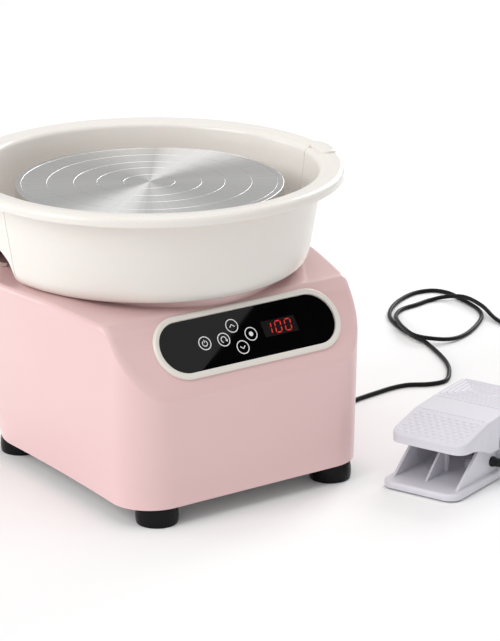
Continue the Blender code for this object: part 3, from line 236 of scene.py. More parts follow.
def maths(tree, how, first, second=None, third=None):
    """Math node fed by sockets or plain numbers; returns its output."""
    node = tree.nodes.new("ShaderNodeMath")
    node.operation = how
    for socket, value in zip(node.inputs, (first, second, third)):
        if isinstance(value, (int, float)):
            socket.default_value = value
        elif value is not None:
            tree.links.new(value, socket)
    return node.outputs[0]


def skin_noise(tree, scale, detail):
    """Noise over the object's own coordinates, its scale fed by a socket."""
    place = tree.nodes.new("ShaderNodeTexCoord")
    noise = tree.nodes.new("ShaderNodeTexNoise")
    noise.inputs["Detail"].default_value = detail
    tree.links.new(place.outputs["Object"], noise.inputs["Vector"])
    tree.links.new(scale, noise.inputs["Scale"])
    return noise.outputs[0]


def about_centre(tree, ends):
    """The object's X and Y, less the group's centre."""
    place = tree.nodes.new("ShaderNodeTexCoord")
    parts = tree.nodes.new("ShaderNodeSeparateXYZ")
    tree.links.new(place.outputs["Object"], parts.inputs[0])
    return [maths(tree, "SUBTRACT", parts.outputs[way], ends.outputs["Centre " + way]) for way in "XY"]


# Moulded skin: the fine spark-eroded grain of a mould and slow drifts of tone.
moulded_skin, skin_in, skin_out = group(
    "moulded_skin", (("Grain", 1600.0), ("Drift", 9.0)), ("Tone", "Gloss", "Height"))
drift = skin_noise(moulded_skin, skin_in.outputs["Drift"], 4.0)
moulded_skin.links.new(drift, skin_out.inputs["Tone"])
moulded_skin.links.new(maths(moulded_skin, "SUBTRACT", drift, 0.5), skin_out.inputs["Gloss"])
moulded_skin.links.new(skin_noise(moulded_skin, skin_in.outputs["Grain"], 3.0), skin_out.inputs["Height"])

# Edge rub: where corners are handled they polish and pale a little.
edge_rub, rub_in, rub_out = group("edge_rub", (("Start", 0.52), ("Width", 0.08)), ("Mask",))
shape = edge_rub.nodes.new("ShaderNodeNewGeometry")
over = maths(edge_rub, "SUBTRACT", shape.outputs["Pointiness"], rub_in.outputs["Start"])
ratio = edge_rub.nodes.new("ShaderNodeMath")
ratio.operation = "DIVIDE"
ratio.use_clamp = True
edge_rub.links.new(over, ratio.inputs[0])
edge_rub.links.new(rub_in.outputs["Width"], ratio.inputs[1])
edge_rub.links.new(ratio.outputs[0], rub_out.inputs["Mask"])

# Settled dust: thin and patchy, on faces that look up and nowhere else.
settled_dust, dust_in, dust_out = group("settled_dust", (("Patch", 22.0),), ("Mask",))
shape = settled_dust.nodes.new("ShaderNodeNewGeometry")
facing = settled_dust.nodes.new("ShaderNodeSeparateXYZ")
settled_dust.links.new(shape.outputs["Normal"], facing.inputs[0])
patch = skin_noise(settled_dust, dust_in.outputs["Patch"], 6.0)
lying = maths(settled_dust, "MAXIMUM", facing.outputs["Z"], 0.0)
dusty = maths(settled_dust, "MULTIPLY", maths(settled_dust, "POWER", lying, 6.0), patch)
settled_dust.links.new(dusty, dust_out.inputs["Mask"])

# Turning lines: the concentric tool marks a lathe leaves about the spindle.
turning_lines, lines_in, lines_out = group(
    "turning_lines", (("Pitch", 2600.0), ("Centre X", 0.0), ("Centre Y", 0.0)), ("Height", "Tone"))
dx, dy = about_centre(turning_lines, lines_in)
span = maths(turning_lines, "SQRT", maths(turning_lines, "ADD", maths(turning_lines, "MULTIPLY", dx, dx),
                                          maths(turning_lines, "MULTIPLY", dy, dy)))
cut = turning_lines.nodes.new("ShaderNodeTexNoise")
cut.noise_dimensions = "1D"
cut.inputs["Detail"].default_value = 4.0
turning_lines.links.new(span, cut.inputs["W"])
turning_lines.links.new(lines_in.outputs["Pitch"], cut.inputs["Scale"])
turning_lines.links.new(cut.outputs[0], lines_out.inputs["Height"])
turning_lines.links.new(cut.outputs[0], lines_out.inputs["Tone"])


def shared(tree, source, values=None):
    """The named group as a node of this material, with these inputs set."""
    node = tree.nodes.new("ShaderNodeGroup")
    node.node_tree = source
    put(node, values or {})
    return node


def surface(name):
    """New material, with its node tree and its Principled shader."""
    finish = bpy.data.materials.new(name)
    finish.use_nodes = True
    return finish, finish.node_tree, finish.node_tree.nodes["Principled BSDF"]


def bumped(tree, shader, height, depth):
    """Drive the shader's normal from a height socket."""
    bump = tree.nodes.new("ShaderNodeBump")
    bump.inputs["Distance"].default_value = depth
    tree.links.new(height, bump.inputs["Height"])
    tree.links.new(bump.outputs["Normal"], shader.inputs["Normal"])


def blend(tree, share, low, high):
    """Mix of two colours by a socket or number; returns the mixed colour."""
    node = tree.nodes.new("ShaderNodeMix")
    node.data_type = "RGBA"
    for socket, value in ((node.inputs[0], share), (node.inputs[6], low), (node.inputs[7], high)):
        if isinstance(value, (int, float)):
            socket.default_value = value
        elif isinstance(value, tuple):
            socket.default_value = (*value, 1.0)
        else:
            tree.links.new(value, socket)
    return node.outputs[2]


def plastic(name, colour, rough, grain=1600.0, depth=0.00002, rub=0.25, dust=0.05, coat=0.0,
            shine=0.5):
    """Moulded plastic or rubber: grain, drifting tone, rubbed edges, thin dust."""
    finish, tree, shader = surface(name)
    skin = shared(tree, moulded_skin, {"Grain": grain})
    wear = shared(tree, edge_rub)
    film = shared(tree, settled_dust)
    deep = tuple(c * 0.955 for c in colour)
    pale = tuple(min(1.0, c * 1.12 + 0.02) for c in colour)
    tone = blend(tree, skin.outputs["Tone"], deep, colour)
    worn = blend(tree, maths(tree, "MULTIPLY", wear.outputs["Mask"], rub), tone, pale)
    grey = blend(tree, maths(tree, "MULTIPLY", film.outputs["Mask"], dust), worn, (0.62, 0.60, 0.57))
    tree.links.new(grey, shader.inputs["Base Color"])
    gloss = maths(tree, "MULTIPLY_ADD", skin.outputs["Gloss"], 0.14, rough)
    rough_at = maths(tree, "MULTIPLY_ADD", wear.outputs["Mask"], -0.06, gloss)
    tree.links.new(rough_at, shader.inputs["Roughness"])
    bumped(tree, shader, skin.outputs["Height"], depth)
    put(shader, {"Coat Weight": coat, "Coat Roughness": 0.12, "Specular IOR Level": shine})
    return finish


cord_skin = plastic("cord_pvc", (0.006, 0.006, 0.0065), 0.42, grain=2600.0, depth=0.00003, dust=0.003,
                    rub=0.05, shine=0.14)
cord_mesh.materials.append(cord_skin)

# ---- Housing -----------------------------------------------------------------
# One injection-moulded pink ABS shell, open below. A console slopes to the
# operator, the deck carries the basin, and its round pedestal the bearing.
WALL = 3.5
LOW_Z = 19.6
# Half widths, rear wall and its corners: each at the foot, then at the deck.
FRONT_HALF = (146.0, 151.0)
SIDE_HALF = (138.0, 178.0)
BACK_Y = (132.0, 158.0)
BACK_R = (70.0, 100.0)
FOOT_X = 109.0
FOOT_Y = (-170.0, 89.0)
FRONT_Y = -192.0
CORNER_R = 44.5
LIP_Z = 137.5
FOLD_Y, FOLD_Z = -142.0, 205.0
FLAT_Y, DECK_Z = -62.0, 215.0
EDGE_R = 6.5


def settle(name, bm, seat=None, angle=32.0, weighted=False):
    """Object at the origin from millimetres about the spindle (or in seat's frame)."""
    bmesh.ops.remove_doubles(bm, verts=bm.verts, dist=0.004)
    bmesh.ops.recalc_face_normals(bm, faces=bm.faces)
    bm.transform(Matrix.Translation((AXIS[0], AXIS[1], 0.0)) @ Matrix.Scale(MM, 4) @ (seat or Matrix()))
    obj = built(name, bm)
    shade(obj, angle, weighted)
    return obj


def shade(obj, angle, weighted=False):
    """Smooth faces with sharp creases; weighted keeps flats beside rounds flat."""
    for face in obj.data.polygons:
        face.use_smooth = True
    obj.data.set_sharp_from_angle(angle=math.radians(angle))
    if weighted:
        step = obj.modifiers.new("flats", "WEIGHTED_NORMAL")
        step.keep_sharp = True
        bake(obj)


def bake(obj):
    """Replace the mesh by what its modifiers make of it."""
    made = bpy.data.meshes.new_from_object(
        obj.evaluated_get(bpy.context.evaluated_depsgraph_get()))
    obj.modifiers.clear()
    old = obj.data
    obj.data = made
    bpy.data.meshes.remove(old)


def carve(obj, forms, how="DIFFERENCE"):
    """Boolean the forms out of (or onto) the object and drop them."""
    for form in forms:
        step = obj.modifiers.new(form.name, "BOOLEAN")
        step.operation = how
        step.solver = "EXACT"
        step.object = form
    bake(obj)
    for form in forms:
        bpy.data.objects.remove(form)


def dress(obj, body, slot, finish, *nodes):
    """Give the piece its material and body, and hide the CAD nodes it stands for; slot is not used."""
    obj.data.materials.clear()
    obj.data.materials.append(finish)
    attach(obj, body)
    if nodes:
        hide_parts(*nodes)
    return obj


def lathe(profile, steps, arc=360.0, start=0.0):
    """Closed (r, z) outline turned about the Z axis."""
    bm = bmesh.new()
    full = arc > 359.9
    grid = []
    for i in range(steps if full else steps + 1):
        a = math.radians(start + arc * i / steps)
        grid.append([bm.verts.new((r * math.cos(a), r * math.sin(a), z)) for r, z in profile])
    for i in range(steps):
        near, far = grid[i], grid[(i + 1) % len(grid)]
        for j in range(len(profile)):
            k = (j + 1) % len(profile)
            if profile[j][0] > 1e-6 or profile[k][0] > 1e-6:
                bm.faces.new((near[j], far[j], far[k], near[k]))
    if not full:
        bm.faces.new(grid[0])
        bm.faces.new(list(reversed(grid[-1])))
    return bm


def band(bm, near, far):
    """Quads between two closed rows of vertices."""
    for i in range(len(near)):
        j = (i + 1) % len(near)
        bm.faces.new((near[i], near[j], far[j], far[i]))


def mirror_cap(bm, row):
    """Quads straight across a row whose second half mirrors its first."""
    count = len(row)
    for i in range(count // 2 - 1):
        bm.faces.new((row[i], row[i + 1], row[count - 2 - i], row[count - 1 - i]))


def mirrored_rows(bm, rings):
    """Vertex rows from half rings, each closed by its mirror image, joined up."""
    rows = [[bm.verts.new(p) for p in ring + [(-x, y, z) for x, y, z in reversed(ring)]] for ring in rings]
    for near, far in zip(rows, rows[1:]):
        band(bm, near, far)
    return rows


def stack(rings):
    """Closed solid from equal rings of points, capped at both ends."""
    bm = bmesh.new()
    rows = [[bm.verts.new(point) for point in ring] for ring in rings]
    for near, far in zip(rows, rows[1:]):
        band(bm, near, far)
    bm.faces.new(list(reversed(rows[0])))
    bm.faces.new(rows[-1])
    return bm


def prism(outline, z0, z1):
    """Outline in XY raised from z0 to z1."""
    return stack([[(x, y, z) for x, y in outline] for z in (z0, z1)])


def arc_points(cx, cy, radius, a0, a1, steps):
    """Points along a circular arc, ends included."""
    return [(cx + radius * math.cos(math.radians(a0 + (a1 - a0) * i / steps)),
             cy + radius * math.sin(math.radians(a0 + (a1 - a0) * i / steps)))
            for i in range(steps + 1)]


def round_rect(width, length, radius, steps=8, y0=None):
    """Rounded rectangle, centred unless y0 gives its lower edge."""
    base = -length / 2 if y0 is None else y0
    half = width / 2 - radius
    top = base + length - radius
    return (arc_points(half, base + radius, radius, -90, 0, steps)
            + arc_points(half, top, radius, 0, 90, steps)
            + arc_points(-half, top, radius, 90, 180, steps)
            + arc_points(-half, base + radius, radius, 180, 270, steps))


def plan_half(level, inset):
    """Right half of the housing's plan at its foot (0) or deck (1), front to back."""
    front, side, back_r = FRONT_HALF[level], SIDE_HALF[level], BACK_R[level]
    half = arc_points(front - CORNER_R, FRONT_Y + CORNER_R, CORNER_R - inset, -90, 0, 18)
    y0, y1 = FRONT_Y + CORNER_R, BACK_Y[level] - back_r
    for i in range(1, 40):
        t = i / 40
        slope = 2 * (side - front) * (1 - t) / (y1 - y0)
        lean = math.hypot(1.0, slope)
        half.append((front + (side - front) * (1 - (1 - t) ** 2) - inset / lean,
                     y0 + (y1 - y0) * t + inset * slope / lean))
    return half + arc_points(side - back_r, y1, back_r - inset, 0, 90, 24)


def roof(y, drop):
    """Height of console and deck at y, with its folds rounded."""
    def soft_low(a, b, k):
        h = max(k - abs(a - b), 0.0) / k
        return min(a, b) - h * h * k / 4
    console = LIP_Z + (y - FRONT_Y) * (FOLD_Z - LIP_Z) / (FOLD_Y - FRONT_Y) - drop * 1.68
    climb = FOLD_Z + (y - FOLD_Y) * (DECK_Z - FOLD_Z) / (FLAT_Y - FOLD_Y) - drop * 1.008
    return soft_low(soft_low(climb, DECK_Z - drop, 1.2), console, 7.0 if drop == 0 else 1.0)


def hull(inset, z0, edge):
    """Housing envelope: ruled walls, a rounded upper edge and rows across the roof."""
    foot, deck = plan_half(0, inset), plan_half(1, inset)
    foot_in, deck_in = plan_half(0, inset + edge), plan_half(1, inset + edge)
    rings = []
    for step in range(7):
        ring = []
        for (xa, ya), (xb, yb) in zip(foot, deck):
            y = ya + (yb - ya) * 0.9
            top = roof(y, inset) - edge
            z = z0 + (top - z0) * step / 6
            share = (z - LOW_Z) / (DECK_Z - LOW_Z)
            ring.append((xa + (xb - xa) * share, ya + (yb - ya) * share, z))
        rings.append(ring)
    for step in range(1, 8):
        turn = math.radians(90 * step / 7)
        inward, rise = 1 - math.cos(turn), math.sin(turn)
        ring = []
        for (xa, ya), (xb, yb), (pa, qa), (pb, qb) in zip(foot, deck, foot_in, deck_in):
            top = roof(ya + (yb - ya) * 0.9, inset)
            share = (top - edge * (1 - rise) - LOW_Z) / (DECK_Z - LOW_Z)
            ox, oy = xa + (xb - xa) * share, ya + (yb - ya) * share
            ix, iy = pa + (pb - pa) * share, qa + (qb - qa) * share
            x, y = ox + (ix - ox) * inward, oy + (iy - oy) * inward
            ring.append((x, y, roof(y, inset) - edge * (1 - rise)))
        rings.append(ring)
    bm = bmesh.new()
    rows = mirrored_rows(bm, rings)
    bm.faces.new(list(reversed(rows[0])))
    mirror_cap(bm, rows[-1])
    return bm


pink_abs = plastic("pink_abs", (0.81, 0.56, 0.555), 0.34, grain=2100.0, depth=0.00001, rub=0.4,
                   coat=0.35)
housing = settle("housing_shell", hull(0.0, LOW_Z, EDGE_R))
PEDESTAL_R, PEDESTAL_Z, PEDESTAL_SUNK = 142.0, 250.0, 20.0
PANEL_X, PANEL_DROP, PANEL_HALF = 7.6, 37.3, 80.0
pedestal = settle("pedestal_form", lathe(
    [(0, DECK_Z - PEDESTAL_SUNK), (PEDESTAL_R, DECK_Z - PEDESTAL_SUNK)]
    + arc_points(PEDESTAL_R - 2.5, PEDESTAL_Z - 2.5, 2.5, 0, 90, 4)
    + [(43.0, PEDESTAL_Z), (43.0, PEDESTAL_Z + 12), (0, PEDESTAL_Z + 12)], 144))
pad = settle("pad_form", stack([[(x, SOCKET[0] / MM - AXIS[1] / MM + y, SOCKET[1] / MM + z)
                                 for y, z in round_rect(36 - cut, 32 - cut, 3)]
                                for x, cut in ((130.0, 0), (150.2, 0), (151.0, 1.6))]))
carve(housing, [pedestal, pad], "UNION")
hollow = settle("hollow_form", hull(WALL, LOW_Z - 8.0, 2.0))
pedestal_hollow = settle("pedestal_hollow", lathe(
    [(0, DECK_Z - PEDESTAL_SUNK - 4), (PEDESTAL_R - WALL, DECK_Z - PEDESTAL_SUNK - 4),
     (PEDESTAL_R - WALL, PEDESTAL_Z - WALL),
     (40.0, PEDESTAL_Z - WALL), (40.0, PEDESTAL_Z + 20), (0, PEDESTAL_Z + 20)], 96))
console_tilt = math.atan2(FOLD_Z - LIP_Z, FOLD_Y - FRONT_Y)
DOWN = Vector((0, FRONT_Y - FOLD_Y, LIP_Z - FOLD_Z)).normalized()
CONSOLE = (Matrix.Translation(Vector((PANEL_X, FOLD_Y, FOLD_Z)) + DOWN * PANEL_DROP)
           @ Matrix.Rotation(console_tilt, 4, "X"))


def stadium(radius, steps=28):
    """Stadium round the console panel's long axis."""
    return (arc_points(PANEL_HALF, 0, radius, -90, 90, steps)
            + arc_points(-PANEL_HALF, 0, radius, 90, 270, steps))


slot_form = settle("slot_form", prism(stadium(30.2), -9.0, 9.0), CONSOLE)
carve(housing, [hollow, pedestal_hollow, slot_form])
lean = math.atan2(BACK_Y[1] - BACK_Y[0], DECK_Z - LOW_Z)


def rear_seat(x, z):
    """Frame on the rear wall at x, z: its Z looks out, its Y climbs the wall."""
    y = BACK_Y[0] + (BACK_Y[1] - BACK_Y[0]) * (z - LOW_Z) / (DECK_Z - LOW_Z)
    turn = Matrix(((-1, 0, 0), (0, math.sin(lean), math.cos(lean)),
                   (0, math.cos(lean), -math.sin(lean)))).to_4x4()
    return Matrix.Translation((x, y, z)) @ turn


INLET, SWITCH, FUSE = rear_seat(-38.0, 62.0), rear_seat(8.0, 62.0), rear_seat(44.0, 62.0)
ALONG_X = Matrix(((0, 0, 1, 0), (0, 1, 0, 0), (-1, 0, 0, 0), (0, 0, 0, 1)))
SOCKET_SEAT = Matrix.Translation((0, -12.0, 46.0)) @ ALONG_X
carve(housing, [
    settle("inlet_slot", prism(round_rect(28.6, 21.6, 1.0), -12, 8), INLET),
    settle("switch_slot", prism(round_rect(20.6, 28.6, 1.0), -12, 8), SWITCH),
    settle("fuse_slot", prism(arc_points(0, 0, 6.6, 0, 348.75, 31), -12, 8), FUSE),
    settle("socket_hole", prism(arc_points(0, 0, 7.4, 0, 348.75, 31), 120, 160), SOCKET_SEAT)])
bosses = []
for y in FOOT_Y:
    for x in (-FOOT_X, FOOT_X):
        tube = lathe([(2.6, 22.7), (8.0, 22.7), (8.0, 52.0), (2.6, 46.0)], 28)
        bosses.append(settle("boss_form", tube, Matrix.Translation((x, y, 0))))
carve(housing, bosses, "UNION")
shade(housing, 30.0, True)
dress(housing, "unit", "pink_plastic", pink_abs, "housing")

# ---- Base plate, feet and screws ---------------------------------------------
# A zinc-plated steel sheet closes the shell; under each corner a moulded
# rubber foot, held through the plate into a boss by one countersunk screw.


def metal(name, colour, rough, lines=0.0, centre=(0.0, 0.0), drift=14.0, tooth=0.00001):
    """Plated, drawn or turned metal: drifting tone, tool marks and rubbed edges."""
    finish, tree, shader = surface(name)
    skin = shared(tree, moulded_skin, {"Grain": 900.0, "Drift": drift})
    marks = shared(tree, turning_lines, {"Centre X": centre[0], "Centre Y": centre[1]})
    wear = shared(tree, edge_rub)
    dull = tuple(c * 0.80 for c in colour)
    tone = blend(tree, skin.outputs["Tone"], dull, colour)
    lined = blend(tree, maths(tree, "MULTIPLY", marks.outputs["Tone"], lines * 0.5), tone, dull)
    worn = blend(tree, maths(tree, "MULTIPLY", wear.outputs["Mask"], 0.4), lined, (0.85, 0.85, 0.84))
    tree.links.new(worn, shader.inputs["Base Color"])
    tree.links.new(maths(tree, "MULTIPLY_ADD", skin.outputs["Gloss"], 0.22, rough),
                   shader.inputs["Roughness"])
    height = maths(tree, "MULTIPLY_ADD", marks.outputs["Height"], lines, skin.outputs["Height"])
    bumped(tree, shader, height, tooth)
    shader.inputs["Metallic"].default_value = 1.0
    return finish


def refinish(finish, *nodes):
    """Put a material on CAD nodes that are carried over as they are."""
    for node in nodes:
        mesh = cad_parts[node].data
        if not mesh.materials:
            mesh.materials.append(finish)
        for i in range(len(mesh.materials)):
            mesh.materials[i] = finish


zinc = metal("zinc_plate", (0.60, 0.61, 0.60), 0.36, drift=60.0)
refinish(zinc, "base_plate")
foot_rubber = plastic("foot_rubber", (0.010, 0.010, 0.011), 0.26, grain=1300.0, depth=0.00002,
                      rub=0.02, dust=0.006, shine=0.1)
for word, x, y in (("front_left", -FOOT_X, FOOT_Y[0]), ("front_right", FOOT_X, FOOT_Y[0]),
                   ("rear_left", -FOOT_X, FOOT_Y[1]), ("rear_right", FOOT_X, FOOT_Y[1])):
    profile = ([(2.7, 19.9), (2.7, 11.5), (5.6, 11.5), (5.6, 0.4), (6.0, 0.0)]
               + arc_points(20.4, 1.0, 1.0, -90, -20, 4)
               + [(21.9, 4.0), (22.1, 7.0), (22.2, 9.0), (21.9, 13.0), (21.2, 17.0)]
               + arc_points(19.9, 18.3, 1.0, 10, 90, 5) + [(12.0, 19.3), (12.0, 19.9)])
    foot = settle("rubber_foot_" + word, lathe(profile, 72), Matrix.Translation((x, y, 0)), 40.0)
    dress(foot, "unit", "black_rubber", foot_rubber, "foot_" + word)
refinish(metal("screw_zinc", (0.66, 0.66, 0.63), 0.30), "foot_screw_front_left",
         "foot_screw_front_right", "foot_screw_rear_left", "foot_screw_rear_right")

# ---- Drive inside the housing -------------------------------------------------
# A bent steel channel on the plate carries the cast bearing housing and the
# motor; a flat belt takes the motor's turn to the spindle's large pulley.
refinish(metal("frame_steel", (0.42, 0.43, 0.45), 0.42, drift=30.0), "drive_frame")
refinish(metal("cast_aluminium", (0.62, 0.62, 0.61), 0.48, tooth=0.00005), "bearing_housing")
ground = metal("ground_steel", (0.66, 0.67, 0.68), 0.22, lines=0.6, centre=AXIS)
refinish(ground, "spindle", "upper_bearing", "lower_bearing", "motor_shaft", "head_set_screw_1",
         "head_set_screw_2")
refinish(metal("bolt_zinc", (0.64, 0.64, 0.60), 0.30), "frame_bolt_1", "frame_bolt_2",
         "frame_bolt_3", "frame_bolt_4", "spindle_nut")
refinish(metal("pulley_zinc", (0.58, 0.58, 0.57), 0.34, lines=0.4,
               centre=(AXIS[0], AXIS[1] + 0.086)), "motor_pulley")
refinish(plastic("pulley_nylon", (0.022, 0.022, 0.024), 0.40), "spindle_pulley")
refinish(plastic("belt_rubber", (0.015, 0.015, 0.016), 0.72, grain=700.0, depth=0.0001), "drive_belt")
refinish(metal("motor_enamel", (0.05, 0.05, 0.055), 0.32, drift=20.0), "motor")

laminate = plastic("green_laminate", (0.015, 0.13, 0.055), 0.30, grain=500.0, depth=0.00003, rub=0.6)
tree = laminate.node_tree
tracks = tree.nodes.new("ShaderNodeTexBrick")
tracks.inputs["Scale"].default_value = 260.0
tracks.inputs["Mortar Size"].default_value = 0.03
place = tree.nodes.new("ShaderNodeTexCoord")
tree.links.new(place.outputs["Object"], tracks.inputs["Vector"])
shader = tree.nodes["Principled BSDF"]
under = shader.inputs["Base Color"].links[0].from_socket
tree.links.new(blend(tree, maths(tree, "MULTIPLY", tracks.outputs["Fac"], 0.55), under,
                     (0.05, 0.30, 0.12)), shader.inputs["Base Color"])
refinish(laminate, "control_board", "power_board", "sensor_board")
refinish(metal("sink_aluminium", (0.70, 0.70, 0.69), 0.38, drift=50.0), "heat_sink")
refinish(plastic("module_case", (0.02, 0.02, 0.021), 0.35), "display_module")

# ---- Console panel -------------------------------------------------------------
# An ivory ABS bezel frames black glass. The touch marks are white print on the
# glass, and a red three-figure speed display shines through it.
ivory_abs = plastic("ivory_abs", (0.83, 0.79, 0.73), 0.30, grain=1900.0, depth=0.00001, coat=0.2)


def ringed(section, steps=28):
    """Closed (distance, z) section carried round the panel's stadium."""
    bm = bmesh.new()
    rows = [[bm.verts.new((x, y, z)) for x, y in stadium(r, steps)] for r, z in section]
    for k in range(len(rows)):
        band(bm, rows[k], rows[(k + 1) % len(rows)])
    return bm


bezel = settle("console_bezel", ringed(
    [(34.0, 0.3), (34.0, 1.4)] + arc_points(31.4, 1.1, 2.6, 8, 84, 7)
    + [(30.2, 3.64), (28.9, 3.3)] + arc_points(28.3, 2.6, 0.6, 80, 170, 4)
    + [(27.6, 1.9), (27.6, -1.5), (23.6, -1.5), (23.6, -4.5), (29.9, -4.5), (29.9, 0.3)]),
    CONSOLE, 45.0)
carve(bezel, [settle("post_form", prism(arc_points(sx * 72.25, sy * 26.4, 2.6, 0, 345, 23), -10.1, -3.0),
                     CONSOLE) for sx in (-1, 1) for sy in (-1, 1)], "UNION")
shade(bezel, 40.0)
dress(bezel, "unit", "ivory_plastic", ivory_abs, "panel_bezel")

black_glass = plastic("black_glass", (0.0015, 0.0015, 0.0018), 0.05, grain=60.0, depth=0.000001,
                      rub=0.0, dust=0.0015, shine=0.4)
glass = settle("console_glass", stack([[(x, y, z) for x, y in stadium(r)] for r, z in (
    (27.3, -1.2), (27.3, 0.95), (27.05, 1.2))]), CONSOLE, 20.0)
dress(glass, "unit", "black_glass", black_glass, "panel_glass")

# A black flag stands where the panel's right part mirrors the room, so the
# glass shows its slanting reflection.
mirror_n = (CONSOLE.to_3x3() @ Vector((0, 0, 1))).normalized()
panel_at = (CONSOLE @ Vector((0, 0, 1.2))) * MM + Vector((AXIS[0], AXIS[1], 0))
mirrored = spot - mirror_n * (2 * (spot - panel_at).dot(mirror_n))
sight = (panel_at - mirrored).normalized()
flag = bmesh.new()
corners = []
for x, y in ((70.6, 60), (200, 60), (200, -70), (-136.5, -70)):
    way = (CONSOLE @ Vector((x, y, 1.2))) * MM + Vector((AXIS[0], AXIS[1], 0)) - mirrored
    reach = ((panel_at - mirrored).dot(sight) + 1.1) / way.normalized().dot(sight)
    corners.append(flag.verts.new(mirrored + way.normalized() * reach))
flag.faces.new(corners)
black_flag = built("black_flag", flag)
black_flag.data.materials.append(matte("black_velvet", 0.01, 1.0, 0.0))


def flat_print(name, shapes, height, thick=0.02):
    """Thin printed shapes lying on the glass, each a closed outline."""
    bm = bmesh.new()
    for outline in shapes:
        low = [bm.verts.new((x, y, height)) for x, y in outline]
        top = [bm.verts.new((x, y, height + thick)) for x, y in outline]
        band(bm, low, top)
        bm.faces.new(list(reversed(low)))
        bm.faces.new(top)
    bm.transform(Matrix.Translation((AXIS[0], AXIS[1], 0.0)) @ Matrix.Scale(MM, 4) @ CONSOLE)
    bmesh.ops.recalc_face_normals(bm, faces=bm.faces)
    return built(name, bm)


def stroke(points, wide):
    """Open line given width, as one closed outline."""
    left, right = [], []
    for i, (x, y) in enumerate(points):
        x0, y0 = points[max(i - 1, 0)]
        x1, y1 = points[min(i + 1, len(points) - 1)]
        size = math.hypot(x1 - x0, y1 - y0)
        nx, ny = -(y1 - y0) / size * wide / 2, (x1 - x0) / size * wide / 2
        left.append((x + nx, y + ny))
        right.append((x - nx, y - ny))
    return left + right[::-1]


marks = []
for cx, cy in ((-53.7, -0.2), (-30.7, -0.7), (-15.7, 11.5), (3.0, -1.0), (-11.9, -12.8)):
    for a in (0, 90, 180, 270):
        marks.append(stroke(arc_points(cx, cy, 6.9, a, a + 90, 12), 1.0))
marks.append(stroke(arc_points(-53.7, -0.4, 2.9, 122, 418, 20), 0.85))
marks.append(stroke([(-53.7, 0.4), (-53.7, 3.6)], 0.85))
marks.append(stroke(arc_points(-30.7, -0.7, 3.1, -20, 250, 20), 0.9))
marks.append([(-26.0, -1.2), (-29.0, -1.4), (-27.3, -3.9)])
marks.append(stroke([(-18.7, 10.2), (-15.7, 13.0), (-12.7, 10.2)], 1.05))
marks.append(stroke([(-14.9, -11.6), (-11.9, -14.4), (-8.9, -11.6)], 1.05))
marks.append(arc_points(3.0, -1.0, 2.5, 0, 345, 23))
touch_marks = flat_print("touch_marks", marks, 1.205)
dress(touch_marks, "unit", "white_plastic",
      plastic("white_print", (0.92, 0.92, 0.92), 0.5, grain=3000.0, rub=0.0, dust=0.0))

window = flat_print("display_window", [[(18.6, -8.2), (60.5, -8.2), (60.5, 8.9), (18.6, 8.9)]], 1.203, 0.008)
window_tint = plastic("window_tint", (0.016, 0.013, 0.013), 0.12, grain=80.0, depth=0.000001,
                      rub=0.0, dust=0.0)
dress(window, "unit", "black_glass", window_tint)

BARS = {"a": ((-2.9, 6.0), (2.9, 6.0)), "g": ((-2.9, 0.0), (2.9, 0.0)), "d": ((-2.9, -6.0), (2.9, -6.0)),
        "f": ((-3.5, 0.6), (-3.5, 5.4)), "b": ((3.5, 0.6), (3.5, 5.4)),
        "e": ((-3.5, -5.4), (-3.5, -0.6)), "c": ((3.5, -5.4), (3.5, -0.6))}
figures = []
for cx, lit in ((25.6, "bc"), (37.8, "abcdef"), (50.0, "abcdef")):
    for bar in lit:
        (xa, ya), (xb, yb) = BARS[bar]
        size = math.hypot(xb - xa, yb - ya)
        ux, uy = (xb - xa) / size, (yb - ya) / size
        outline = []
        for along, side in ((0, 0), (0.6, 0.62), (size - 0.6, 0.62),
                            (size, 0), (size - 0.6, -0.62), (0.6, -0.62)):
            x, y = xa + ux * along - uy * side, ya + uy * along + ux * side
            outline.append((cx + x + y * 0.14, 0.4 + y))
        figures.append(outline)
display_figures = flat_print("display_figures", figures, 1.212)
glow, tree, shader = surface("red_glow")
skin = shared(tree, moulded_skin, {"Grain": 1500.0, "Drift": 160.0})
tree.links.new(blend(tree, skin.outputs["Tone"], (0.55, 0.006, 0.006), (0.9, 0.014, 0.012)),
               shader.inputs["Emission Color"])
tree.links.new(maths(tree, "MULTIPLY_ADD", skin.outputs["Gloss"], 0.2, 0.35), shader.inputs["Roughness"])
put(shader, {"Base Color": (0.25, 0.004, 0.004, 1), "Emission Strength": 0.75})
dress(display_figures, "unit", "black_glass", glow)

# ---- Wheel head ----------------------------------------------------------------
# An 11 in cast aluminium disc, faced on a lathe, with five centring rings cut
# in its top. Its hub drops over the spindle and two set screws hold it.
HEAD_TOP = 299.5
head_line = [(0.0, HEAD_TOP)]
for groove in (26.8, 54.6, 78.7, 106.7, 133.4):
    head_line += [(groove - 0.5, HEAD_TOP), (groove - 0.2, HEAD_TOP - 0.28),
                  (groove + 0.2, HEAD_TOP - 0.28), (groove + 0.5, HEAD_TOP)]
head_line += (list(reversed(arc_points(138.9, HEAD_TOP - 1.1, 1.1, 0, 90, 5)))
              + [(140.0, HEAD_TOP - 11.2), (139.2, HEAD_TOP - 12.0), (135.0, HEAD_TOP - 12.0),
                 (133.0, HEAD_TOP - 8.0), (34.0, HEAD_TOP - 8.0), (30.0, HEAD_TOP - 12.0),
                 (30.0, 264.0), (10.3, 264.0), (10.3, 290.0), (0.0, 290.0)])
head = settle("turned_head", lathe(head_line, 200), angle=22.0)
carve(head, [settle("screw_form", prism(arc_points(0, 0, 3.3, 0, 340, 17), a, b),
                    Matrix.Translation((0, 0, 274.0)) @ ALONG_X) for a, b in ((-40, 0), (0, 40))])
shade(head, 22.0)
